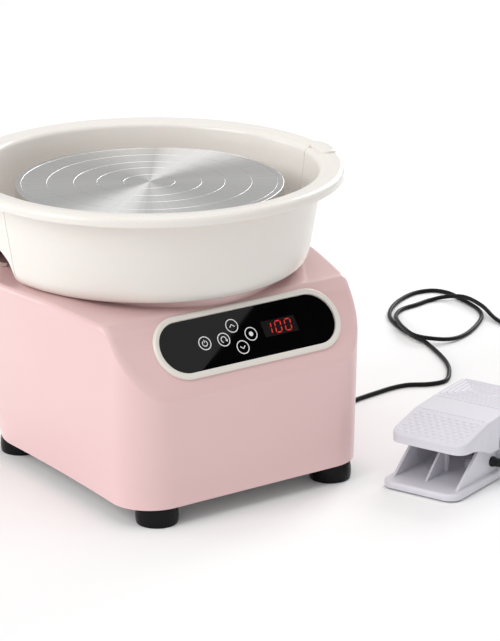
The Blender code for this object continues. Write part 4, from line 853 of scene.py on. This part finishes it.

# Painted highlight fans: bright and dull sectors painted into the head's colour out from the spindle, twice
# round, turned to the camera's line of sight, with thin radial streaks in them, standing in for the
# reflections of fine facing marks.
painted_highlight_fans, fans_in, fans_out = group(
    "painted_highlight_fans", (("Centre X", 0.0), ("Centre Y", 0.0), ("Turn", 0.0)), ("Mask",))
dx, dy = about_centre(painted_highlight_fans, fans_in)
bearing = maths(painted_highlight_fans, "SUBTRACT", maths(painted_highlight_fans, "ARCTAN2", dy, dx), fans_in.outputs["Turn"])
sector = maths(painted_highlight_fans, "FRACT", maths(painted_highlight_fans, "DIVIDE", bearing, math.pi))
fans = painted_highlight_fans.nodes.new("ShaderNodeValToRGB")
fans.color_ramp.interpolation = "B_SPLINE"
fans.color_ramp.elements[0].color = (0.45, 0.45, 0.45, 1)
fans.color_ramp.elements[1].color = (0.45, 0.45, 0.45, 1)
for stop, level in ((0.04, 0.98), (0.11, 0.82), (0.22, 0.40), (0.38, 0.26), (0.50, 0.38), (0.62, 0.24),
                    (0.78, 0.42), (0.90, 0.86), (0.96, 1.0)):
    fans.color_ramp.elements.new(stop).color = (level, level, level, 1)
painted_highlight_fans.links.new(sector, fans.inputs[0])
streaks = painted_highlight_fans.nodes.new("ShaderNodeTexNoise")
streaks.noise_dimensions = "1D"
streaks.inputs["Detail"].default_value = 5.0
streaks.inputs["Scale"].default_value = 26.0
painted_highlight_fans.links.new(bearing, streaks.inputs["W"])
streaked = maths(painted_highlight_fans, "MULTIPLY_ADD", maths(painted_highlight_fans, "SUBTRACT", streaks.outputs[0], 0.5), 0.35,
                 fans.outputs["Color"])
painted_highlight_fans.links.new(streaked, fans_out.inputs["Mask"])

turned, tree, shader = surface("turned_aluminium")
lines = shared(tree, turning_lines, {"Centre X": AXIS[0], "Centre Y": AXIS[1], "Pitch": 1500.0})
skin = shared(tree, moulded_skin, {"Drift": 18.0})
wear = shared(tree, edge_rub)
highlight_fan = shared(tree, painted_highlight_fans, {"Centre X": AXIS[0], "Centre Y": AXIS[1], "Turn": math.radians(54.3)})
# Painted highlight and painted shade: the fan mask mixes a shaded grey and a highlight grey into the base
# colour.
dull = blend(tree, lines.outputs["Tone"], (0.36, 0.36, 0.355), (0.50, 0.495, 0.49))
highlight_grey = blend(tree, lines.outputs["Tone"], (0.86, 0.86, 0.855), (0.97, 0.965, 0.96))
painted_highlight_tone = blend(tree, highlight_fan.outputs["Mask"], dull, highlight_grey)
tone = blend(tree, maths(tree, "MULTIPLY", skin.outputs["Tone"], 0.25), painted_highlight_tone, (0.50, 0.49, 0.47))
tree.links.new(blend(tree, maths(tree, "MULTIPLY", wear.outputs["Mask"], 0.3), tone, (0.9, 0.9, 0.89)),
               shader.inputs["Base Color"])
tree.links.new(maths(tree, "MULTIPLY_ADD", lines.outputs["Tone"], 0.16, 0.24), shader.inputs["Roughness"])
bumped(tree, shader, lines.outputs["Height"], 0.000004)
ways = tree.nodes.new("ShaderNodeTangent")
ways.direction_type = "RADIAL"
ways.axis = "Z"
tree.links.new(ways.outputs["Tangent"], shader.inputs["Tangent"])
put(shader, {"Metallic": 1.0, "Anisotropic": 0.82})
dress(head, "wheel", "aluminium", turned, "wheel_head")

# ---- Splash basin --------------------------------------------------------------
# Two ivory ABS parts slide in from front and back under the wheel head and
# meet at the sides. Each has a tab over its partner's rim, and the rear part
# two arches to pull it off by.
RIM_R, RIM_Z, WALL_R = 202.5, 318.0, 180.0
SEAM = 12.5
basin_line = ([(150.0, 218.2), (150.9, 216.4), (152.6, 215.5), (155.6, 216.0), (158.4, 217.3),
               (161.2, 219.5), (163.4, 222.2), (165.0, 225.2), (166.2, 228.6), (167.0, 231.8),
               (167.6, 235.0), (170.3, 251.0), (173.6, 270.0), (176.6, 288.0), (179.2, 304.4),
               (180.2, 309.6), (181.8, 313.2), (184.4, 315.0), (196.6, 315.0)]
              + arc_points(196.6, 312.1, 2.9, 90, 0, 6)[1:]
              + [(199.5, 308.5)] + arc_points(201.0, 308.9, 1.5, 190, 345, 7)
              + arc_points(196.0, 311.5, 6.5, 0, 88, 12)
              + [(190.0, 317.9), (185.0, 317.3)] + arc_points(182.6, 310.4, 6.6, 78, 172, 10)
              + [(175.2, 300.0), (172.9, 284.0), (170.6, 270.0)]
              + arc_points(160.0, 262.3, 9.0, -18, -90, 8)
              + [(120.0, 253.3), (80.0, 253.3)] + arc_points(51.5, 255.8, 2.5, 270, 180, 5)
              + [(49.0, 266.8), (48.2, 267.9), (47.2, 268.3), (46.3, 267.9), (46.0, 267.0),
                 (46.0, 251.2), (46.9, 250.3), (160.0, 250.3), (162.0, 249.2), (163.0, 247.3),
                 (164.4, 235.0), (163.4, 230.6), (161.8, 226.4), (159.8, 223.2), (157.2, 220.6)])


def basin_half(name, start, sweep, tab_span, arches):
    """One part of the basin from its start angle, tab over its partner's rim."""
    half = settle(name, lathe(basin_line, int(sweep / 1.2), sweep - 0.3, start + 0.15))
    if arches:
        forms = []
        for sx in (-1, 1):
            arch = [(65.0, 200.0)]
            arch += [(34.0 + 31.0 * math.cos(math.radians(a)), 226.0 + 22.5 * math.sin(math.radians(a)))
                     for a in range(0, 181, 6)] + [(3.0, 200.0)]
            ends = [[(sx * x, y, z) for y, z in arch] for x in (100.0, 195.0)]
            forms.append(settle("arch_form", stack(ends)))
        carve(half, forms)
    tab = bmesh.new()
    rows = []
    section = ((0.0, -1.6), (0.0, 1.5), (0.12, 2.3), (0.3, 2.8),
               (0.7, 2.8), (0.88, 2.3), (1.0, 1.5), (1.0, -1.6))
    first, last = tab_span
    for i in range(25):
        a = first + (last - first) * i / 24
        reach = max(0.0, 2.4 - min(a - first, last - a)) / 2.4
        pinch = 1 - math.sqrt(max(0.0, 1 - reach * reach))
        r0, r1 = WALL_R + 3.2 + 6.5 * pinch, RIM_R - 0.9 - 8.0 * pinch
        over_own = any(start + 0.4 < angle < start + sweep - 0.4 for angle in (a, a % 360))
        floor_z = -1.2 if over_own else 0.3
        rows.append([tab.verts.new(((r0 + (r1 - r0) * u) * math.cos(math.radians(a)),
                                    (r0 + (r1 - r0) * u) * math.sin(math.radians(a)),
                                    RIM_Z + (floor_z if z < 0 else 0.1 + z * (1 - 0.35 * pinch))))
                     for u, z in section])
    for near, far in zip(rows, rows[1:]):
        band(tab, near, far)
    tab.faces.new(rows[0])
    tab.faces.new(list(reversed(rows[-1])))
    carve(half, [settle("tab_form", tab)], "UNION")
    shade(half, 38.0)
    return half


basin_abs = plastic("basin_abs", (0.85, 0.815, 0.765), 0.30, grain=1700.0, depth=0.00001, rub=0.3,
                    dust=0.03, coat=0.25)
basin_abs.node_tree.nodes["Principled BSDF"].inputs["Subsurface Weight"].default_value = 0.12
basin_abs.node_tree.nodes["Principled BSDF"].inputs["Subsurface Scale"].default_value = 0.004
dress(basin_half("basin_half_front", 180.0, 180.0 - SEAM, (-SEAM - 10.0, -SEAM + 3.0), False), "basin_front",
      "ivory_plastic", basin_abs, "splash_front")
dress(basin_half("basin_half_rear", -SEAM, 180.0 + SEAM, (171.5, 181.5), True), "basin_rear",
      "ivory_plastic", basin_abs, "splash_rear")

# ---- Rear fittings and pedal socket ---------------------------------------------
# A snap-in mains inlet, a rocker switch and a fuse cap in moulded nylon on the
# rear wall, and the nickel-plated round socket for the pedal on the right.
nylon = plastic("black_nylon", (0.018, 0.018, 0.019), 0.38, grain=1200.0, depth=0.00003)
inlet = settle("inlet_body", stack([[(x, y, z) for x, y in round_rect(w, l, 2.4)] for w, l, z in (
    (32.0, 26.0, 0.3), (32.0, 26.0, 2.3), (30.8, 24.8, 3.0))]), INLET)
carve(inlet, [settle("neck_form", prism(round_rect(28.0, 21.0, 2.0), -19, 1), INLET)], "UNION")
carve(inlet, [settle("well_form", prism(round_rect(23.0, 15.6, 3.5), -14, 5), INLET)])
blades = [[(x + a, y + b) for a, b in round_rect(2.0, 4.8, 0.5, 3)]
          for x, y in ((0, 2.6), (-7, -2.0), (7, -2.0))]
carve(inlet, [settle("blade_form", prism(blade, -15, -4.2), INLET) for blade in blades], "UNION")
shade(inlet, 35.0)
dress(inlet, "unit", "black_plastic", nylon, "mains_inlet")

switch_frame = settle("rocker_frame", stack([[(x, y, z) for x, y in round_rect(w, l, 1.8)] for w, l, z in (
    (23.0, 31.0, 0.3), (23.0, 31.0, 1.7), (22.0, 30.0, 2.4))]), SWITCH)
carve(switch_frame, [settle("neck_form", prism(round_rect(20.0, 28.0, 1.0), -17, 1), SWITCH)], "UNION")
carve(switch_frame, [settle("well_form", prism(round_rect(15.2, 24.4, 0.6), -12, 5), SWITCH)])
shade(switch_frame, 35.0)
dress(switch_frame, "unit", "black_plastic", nylon, "switch_frame")

rocker_top = [(-11.2 + 22.4 * i / 16, 3.6 - 2.0 * (1 - (1 - i / 8) ** 2)) for i in range(17)]
rocker_line = [(-11.6, 0.6)] + rocker_top + [(11.6, 0.6), (4.0, -7.6), (-4.0, -7.6)]
rocker = stack([[(y * k, z if z < 0 else z * k, x) for y, z in rocker_line]
                for x, k in ((-7.3, 0.97), (-6.8, 1.0), (6.8, 1.0), (7.3, 0.97))])
rocker.transform(Matrix(((0, 0, 1, 0), (1, 0, 0, 0), (0, 1, 0, 0), (0, 0, 0, 1))))
rocker.transform(Matrix.Rotation(math.radians(8.0), 4, "X"))
rocker = settle("rocker_key", rocker, SWITCH, 30.0)
dress(rocker, "rocker", "black_plastic",
      plastic("rocker_gloss", (0.014, 0.014, 0.015), 0.20, grain=800.0), "power_rocker")
fuse = lathe([(0, -20), (5.6, -20), (6.2, -19), (6.2, 0.3), (9.0, 0.3), (9.0, 2.2), (8.2, 2.8), (6.4, 2.8),
              (6.2, 3.4), (6.0, 7.0), (5.4, 7.6), (0, 7.6)], 48)
fuse = settle("fuse_cap", fuse, FUSE)
carve(fuse, [settle("slot_form", prism(round_rect(8.0, 1.2, 0.3, 2), 6.6, 9.0), FUSE)])
shade(fuse, 30.0)
dress(fuse, "unit", "black_plastic", nylon, "fuse_holder")
socket = settle("socket_ring", lathe([
    (3.6, 128), (7.0, 128), (7.0, 151.3), (10.0, 151.3), (10.0, 153.2), (9.4, 153.8), (5.4, 153.8),
    (4.6, 153.1), (4.6, 138), (3.6, 138)], 56), SOCKET_SEAT, 30.0)
dress(socket, "unit", "zinc", metal("socket_nickel", (0.68, 0.66, 0.62), 0.22), "pedal_socket")

# ---- Cord plug and strain relief ---------------------------------------------------
# Soft PVC moulded round both ends of the lead. Each tapers along the cord,
# with slits that let it bend without kinking.


def sleeve(name, seat, profile, slits, half_depth):
    """Turned sleeve with pairs of crosswise slits at the given stations."""
    piece = settle(name, lathe(profile, 48), seat, 35.0)
    forms = []
    for k, (station, radius) in enumerate(slits):
        ring = [(radius - half_depth, station), (radius + 3.0, station),
                (radius + 3.0, station + 1.1), (radius - half_depth, station + 1.1)]
        turn = 0 if k % 2 else 90
        for side in (0, 180):
            forms.append(settle("slit_form", lathe(ring, 20, 110.0, side + turn - 55.0), seat))
    carve(piece, forms)
    shade(piece, 35.0)
    return piece


plug = sleeve("plug_sleeve", SOCKET_SEAT, (
    [(2.8, 146), (4.3, 146), (4.3, 154.1)] + arc_points(7.0, 155.1, 1.0, -90, 0, 4)
    + [(8.0, 170.0), (7.6, 172.0), (5.8, 174.4), (5.2, 176), (4.2, 197.4), (3.8, 198), (2.8, 198)]),
    [(178.0 + 4.0 * k, 5.1 - 0.17 * k) for k in range(5)], 1.1)
plug_pvc = plastic("plug_pvc", (0.014, 0.014, 0.015), 0.46, grain=1500.0, depth=0.00004, shine=0.25)
dress(plug, "unit", "black_rubber", plug_pvc, "cord_plug")
PEDAL = Matrix.Translation((147.0, -268.0, 0.0)) @ Matrix.Rotation(math.radians(-70.0), 4, "Z")
RELIEF_SEAT = PEDAL @ Matrix.Translation((0, 84.0, 21.0)) @ ALONG_X
relief = sleeve("relief_sleeve", RELIEF_SEAT, [
    (2.8, 33.2), (5.0, 33.2), (5.0, 36.2), (3.4, 36.2), (3.4, 39.8), (5.6, 39.8), (5.6, 42.0), (4.6, 44.0),
    (3.9, 59.6), (3.5, 60.0), (2.8, 60.0)], [(45.5 + 3.4 * k, 4.5 - 0.15 * k) for k in range(4)], 0.9)
dress(relief, "unit", "black_rubber", plug_pvc, "strain_relief")

# ---- Pedal base ----------------------------------------------------------------------
# One cool-white ABS moulding: a floor plate with two slanted side walls that
# hold the hinge pin, a centre rib, a stop post and the spring's seat.
cool_abs = plastic("cool_white_abs", (0.72, 0.71, 0.765), 0.38, grain=2000.0, depth=0.00002, rub=0.35)
PLATE_TOP = 9.0


def on_edge(outline, x0, x1):
    """Outline in (y, z) carried across the pedal from x0 to x1."""
    bm = stack([[(y, z, x) for y, z in outline] for x in (x0, x1)])
    bm.transform(Matrix(((0, 0, 1, 0), (1, 0, 0, 0), (0, 1, 0, 0), (0, 0, 0, 1))))
    return bm


base = settle("pedal_floor", stack([[(x, y, z) for x, y in round_rect(
    92.0 - 2 * cut, 104.0 - 2 * cut, 15.0 - cut, 10, cut)] for cut, z in (
        (1.4, 1.5), (0.5, 2.0), (0.0, 3.0), (0.0, 5.6),
        (0.25, 6.9), (0.9, 8.0), (1.9, 8.7), (3.2, 9.0))]), PEDAL)
tail = [(-39.5, 90), (39.5, 90), (39.5, 161), (-39.5, 161)]
forms = [settle("tail_form", prism(tail, 1.5, PLATE_TOP), PEDAL)]
for sx in (-1, 1):
    wall = [(14.0, 8.0), (56.0, 40.0), (148.0, 40.0), (161.0, 30.0), (161.0, 8.0)]
    forms.append(settle("wall_form", on_edge(wall, sx * 38.0 - 1.5, sx * 38.0 + 1.5), PEDAL))
    boss = [(123.0, 8.0)] + arc_points(108.0, 36.0, 15.0, 0, 180, 20) + [(93.0, 8.0)]
    forms.append(settle("boss_form", on_edge(boss, *sorted((sx * 38.5, sx * 44.6))), PEDAL))
rib = [(22.0, 8.0), (50.0, 34.0), (66.0, 34.0), (66.0, 8.0)]
forms.append(settle("rib_form", on_edge(rib, -4.2, -1.8), PEDAL))
forms.append(settle("post_form", lathe([(0, 8.0), (4.2, 8.0), (4.2, 37.2), (3.4, 38.0), (0, 38.0)], 28),
                    PEDAL @ Matrix.Translation((-3.0, 62.0, 0))))
forms.append(settle("back_form", prism([(-38, 158), (38, 158), (38, 161), (-38, 161)], 8.0, 30.0), PEDAL))
forms.append(settle("seat_form", prism(arc_points(12.0, 84.0, 4.6, 0, 345, 23), 8.0, 17.0), PEDAL))
carve(base, forms, "UNION")
forms = [settle("pin_form", prism(arc_points(0, 0, 2.3, 0, 340, 17), -60, 60),
                PEDAL @ Matrix.Translation((0, 108.0, 36.0)) @ ALONG_X),
         settle("gland_form", prism(arc_points(0, 0, 3.7, 0, 340, 17), 30, 50), RELIEF_SEAT)]
for x, y in ((-34, 12), (34, 12), (-30, 150), (30, 150)):
    forms.append(settle("recess_form", prism(arc_points(x, y, 6.4, 0, 348, 29), 0.0, 3.2), PEDAL))
carve(base, forms)
shade(base, 28.0, True)
dress(base, "unit", "white_plastic", cool_abs, "pedal_base")
pad_rubber = plastic("pad_rubber", (0.016, 0.016, 0.017), 0.68, grain=900.0, depth=0.00005)
refinish(pad_rubber, "pedal_pad_front_left", "pedal_pad_front_right", "pedal_pad_rear_left",
         "pedal_pad_rear_right")
refinish(ground, "hinge_pin", "return_spring", "sensor_magnet")

# ---- Treadle -----------------------------------------------------------------------
# The rocking top of the pedal, a thin ABS cap ribbed for grip: staggered
# raised lozenges at the toe, a smooth waist, nested frames of ribs at the heel.
FOLDS = ((16.0, 57.0), (66.0, 69.0), (105.0, 72.0), (166.0, 74.0))


def tread(y):
    """Height of the treadle's top at y."""
    for (ya, za), (yb, zb) in zip(FOLDS, FOLDS[1:]):
        if y <= yb:
            return za + (zb - za) * (y - ya) / (yb - ya)
    return FOLDS[-1][1]


def cap(inset, low, drop, edge):
    """Cap over a rounded outline: straight skirt, eased rim, rows across the top."""
    def outline(d):
        line = arc_points(32.0, 29.0, 13.0 - d, -90, 0, 12)
        line += [(45.0 - d, y) for y in (36, 44, 52, 60, 66, 70, 78, 88, 98, 105, 112, 124, 138, 150)]
        return line + arc_points(37.0, 158.0, 8.0 - d, 0, 90, 8)[1:]
    rings = [[(x, y, low(y)) for x, y in outline(inset)],
             [(x, y, tread(y) - drop - edge) for x, y in outline(inset)]]
    for step in range(1, 6):
        a = math.radians(18 * step)
        rings.append([(x, y, tread(y) - drop - edge * (1 - math.sin(a)))
                      for x, y in outline(inset + edge * (1 - math.cos(a)))])
    bm = bmesh.new()
    rows = mirrored_rows(bm, rings)
    mirror_cap(bm, rows[0])
    mirror_cap(bm, rows[-1])
    return bm


def skirt(y):
    return 47.0 - 13.0 * min(1.0, max(0.0, (y - 30.0) / 42.0)) ** 1.6


treadle = settle("treadle_cap", cap(0.0, skirt, 0.0, 2.2), PEDAL)
forms = [settle("under_form", cap(2.4, lambda y: 10.0, 2.6, 1.0), PEDAL)]
for sx in (-1, 1):
    notch = [(127.0, 20.0)]
    notch += [(108.0 + 19.0 * math.cos(math.radians(a)), 42.0 + 16.0 * math.sin(math.radians(a)))
              for a in range(0, 181, 9)] + [(89.0, 20.0)]
    forms.append(settle("notch_form", on_edge(notch, *sorted((sx * 41.0, sx * 50.0))), PEDAL))
for y in (67.5, 104.0):
    forms.append(settle("groove_form", prism([(-40.0, y), (40.0, y), (40.0, y + 1.0), (-40.0, y + 1.0)],
                                             tread(y) - 0.7, 80.0), PEDAL))
slot = [(-9.0, 136.2), (9.0, 136.2), (9.0, 137.0), (-9.0, 137.0)]
forms.append(settle("slot_form", prism(slot, 72.2, 76.0), PEDAL))
carve(treadle, forms)
forms = []
for sx in (-1, 1):
    lug = [(115.0, 71.0)] + arc_points(108.0, 36.0, 7.0, 0, -180, 16) + [(101.0, 71.0)]
    forms.append(settle("lug_form", on_edge(lug, *sorted((sx * 31.0, sx * 36.2))), PEDAL))
forms.append(settle("spring_form", prism(arc_points(12.0, 84.0, 4.4, 0, 345, 23), 55.0, 69.5), PEDAL))
forms.append(settle("arm_form", prism([(-22, 128), (-16, 128), (-16, 134), (-22, 134)], 30.0, 72.0), PEDAL))
carve(treadle, forms, "UNION")
carve(treadle, [settle("pin_form", prism(arc_points(0, 0, 2.3, 0, 340, 17), -60, 60),
                       PEDAL @ Matrix.Translation((0, 108.0, 36.0)) @ ALONG_X)])
shade(treadle, 9.0, True)
dress(treadle, "treadle", "white_plastic", cool_abs, "treadle")


def geometry_group(name, inputs):
    """Geometry node group with named inputs; returns it and its two ends."""
    tree = bpy.data.node_groups.new(name, "GeometryNodeTree")
    tree.interface.new_socket("Geometry", in_out="INPUT", socket_type="NodeSocketGeometry")
    for label, kind, value in inputs:
        socket = tree.interface.new_socket(label, in_out="INPUT", socket_type="NodeSocket" + kind)
        if value is not None:
            socket.default_value = value
    tree.interface.new_socket("Geometry", in_out="OUTPUT", socket_type="NodeSocketGeometry")
    return tree, tree.nodes.new("NodeGroupInput"), tree.nodes.new("NodeGroupOutput")


def gnode(tree, kind, links, **settings):
    """Node of this kind with its settings made and its inputs linked or set."""
    node = tree.nodes.new(kind)
    for key, value in settings.items():
        setattr(node, key, value)
    for label, value in links.items():
        socket = node.inputs[label]
        if isinstance(value, bpy.types.NodeSocket):
            tree.links.new(value, socket)
        else:
            socket.default_value = value
    return node


def grown(name, source, settings, body, slot, finish, seat):
    """Grow a piece from a geometry group, make it a plain mesh and seat it."""
    obj = linked(name, bpy.data.meshes.new(name))
    step = obj.modifiers.new("grow", "NODES")
    step.node_group = source
    for item in source.interface.items_tree:
        if item.in_out == "INPUT" and item.name in settings:
            step[item.identifier] = settings[item.name]
    bake(obj)
    obj.data.transform(Matrix.Translation((AXIS[0], AXIS[1], 0.0)) @ Matrix.Scale(MM, 4) @ seat)
    shade(obj, 40.0)
    return dress(obj, body, slot, finish)


# Lozenges: a staggered field of low raised pips.
field, ends_in, ends_out = geometry_group("lozenge_field", (
    ("Columns", "Int", 9), ("Rows", "Int", 8), ("Pitch X", "Float", 8.6), ("Pitch Y", "Float", 5.4),
    ("Length", "Float", 3.0), ("Breadth", "Float", 1.7), ("Rise", "Float", 0.9),
    ("Material", "Material", None)))


def gmath(tree, how, first, second=0.0):
    """Math node of a geometry group; returns its output."""
    return gnode(tree, "ShaderNodeMath", {0: first, 1: second}, operation=how).outputs[0]


steps_x = gmath(field, "SUBTRACT", ends_in.outputs["Columns"], 1.0)
steps_y = gmath(field, "SUBTRACT", ends_in.outputs["Rows"], 1.0)
width = gmath(field, "MULTIPLY", steps_x, ends_in.outputs["Pitch X"])
height = gmath(field, "MULTIPLY", steps_y, ends_in.outputs["Pitch Y"])
lattice = gnode(field, "GeometryNodeMeshGrid", {
    "Size X": width, "Size Y": height, "Vertices X": ends_in.outputs["Columns"],
    "Vertices Y": ends_in.outputs["Rows"]})
spot_at = field.nodes.new("GeometryNodeInputPosition")
split = gnode(field, "ShaderNodeSeparateXYZ", {0: spot_at.outputs[0]})
row = gmath(field, "ROUND", gmath(field, "DIVIDE", gmath(field, "ADD", split.outputs[1], gmath(
    field, "MULTIPLY", height, 0.5)), ends_in.outputs["Pitch Y"]))
odd = gmath(field, "MULTIPLY", gmath(field, "MODULO", row, 2.0), gmath(
    field, "MULTIPLY", ends_in.outputs["Pitch X"], 0.5))
shifted = gnode(field, "GeometryNodeSetPosition", {
    "Geometry": lattice.outputs["Mesh"],
    "Offset": gnode(field, "ShaderNodeCombineXYZ", {0: odd}).outputs[0]})
pip = gnode(field, "GeometryNodeMeshUVSphere", {"Segments": 16, "Rings": 10, "Radius": 1.0})
scaled = gnode(field, "ShaderNodeCombineXYZ", {
    0: ends_in.outputs["Length"], 1: ends_in.outputs["Breadth"], 2: ends_in.outputs["Rise"]})
placed = gnode(field, "GeometryNodeInstanceOnPoints", {
    "Points": shifted.outputs[0], "Instance": pip.outputs["Mesh"], "Scale": scaled.outputs[0]})
solid = gnode(field, "GeometryNodeRealizeInstances", {0: placed.outputs[0]})
coloured = gnode(field, "GeometryNodeSetMaterial", {
    "Geometry": solid.outputs[0], "Material": ends_in.outputs["Material"]})
field.links.new(coloured.outputs[0], ends_out.inputs[0])
toe_tilt = math.atan2(FOLDS[1][1] - FOLDS[0][1], FOLDS[1][0] - FOLDS[0][0])
grown("toe_lozenges", field, {"Columns": 9, "Rows": 8, "Material": cool_abs},
      "treadle", "white_plastic", cool_abs,
      PEDAL @ Matrix.Translation((-2.15, 42.0, tread(42.0))) @ Matrix.Rotation(toe_tilt, 4, "X"))

# Rib frames: bars in nested rectangles whose corners stay open.
frames, ends_in, ends_out = geometry_group("rib_frames", (
    ("Count", "Int", 5), ("Pitch", "Float", 5.2), ("Width", "Float", 80.0), ("Depth", "Float", 51.0),
    ("Corner gap", "Float", 1.6), ("Bar", "Float", 1.25), ("Material", "Material", None)))
twice = gmath(frames, "MULTIPLY", frames.nodes.new("GeometryNodeInputIndex").outputs[0], 2.0)
step_at = gmath(frames, "MULTIPLY", twice, ends_in.outputs["Pitch"])
wide = gmath(frames, "SUBTRACT", ends_in.outputs["Width"], step_at)
deep = gmath(frames, "SUBTRACT", ends_in.outputs["Depth"], step_at)
bar = gnode(frames, "GeometryNodeMeshCylinder", {
    "Vertices": 14, "Radius": ends_in.outputs["Bar"], "Depth": 1.0})
joined = frames.nodes.new("GeometryNodeJoinGeometry")
for along, across, turn_z in ((wide, deep, 0.0), (deep, wide, math.pi / 2)):
    for side in (-0.5, 0.5):
        off = gmath(frames, "MULTIPLY", across, side)
        at = gnode(frames, "ShaderNodeCombineXYZ", {1: off} if turn_z == 0.0 else {0: off})
        points = gnode(frames, "GeometryNodeMeshLine", {"Count": ends_in.outputs["Count"]})
        laid = gnode(frames, "GeometryNodeSetPosition", {
            "Geometry": points.outputs[0], "Position": at.outputs[0]})
        long = gnode(frames, "ShaderNodeCombineXYZ", {
            0: 0.42, 1: 1.0, 2: gmath(frames, "SUBTRACT", along, ends_in.outputs["Corner gap"])})
        row_of = gnode(frames, "GeometryNodeInstanceOnPoints", {
            "Points": laid.outputs[0], "Instance": bar.outputs["Mesh"],
            "Rotation": (0.0, math.pi / 2, turn_z), "Scale": long.outputs[0]})
        frames.links.new(row_of.outputs[0], joined.inputs[0])
solid = gnode(frames, "GeometryNodeRealizeInstances", {0: joined.outputs[0]})
coloured = gnode(frames, "GeometryNodeSetMaterial", {
    "Geometry": solid.outputs[0], "Material": ends_in.outputs["Material"]})
frames.links.new(coloured.outputs[0], ends_out.inputs[0])
heel_tilt = math.atan2(FOLDS[3][1] - FOLDS[2][1], FOLDS[3][0] - FOLDS[2][0])
grown("heel_ribs", frames, {"Count": 5, "Material": cool_abs}, "treadle", "white_plastic", cool_abs,
      PEDAL @ Matrix.Translation((0.0, 136.6, tread(136.6) + 0.05)) @ Matrix.Rotation(heel_tilt, 4, "X"))
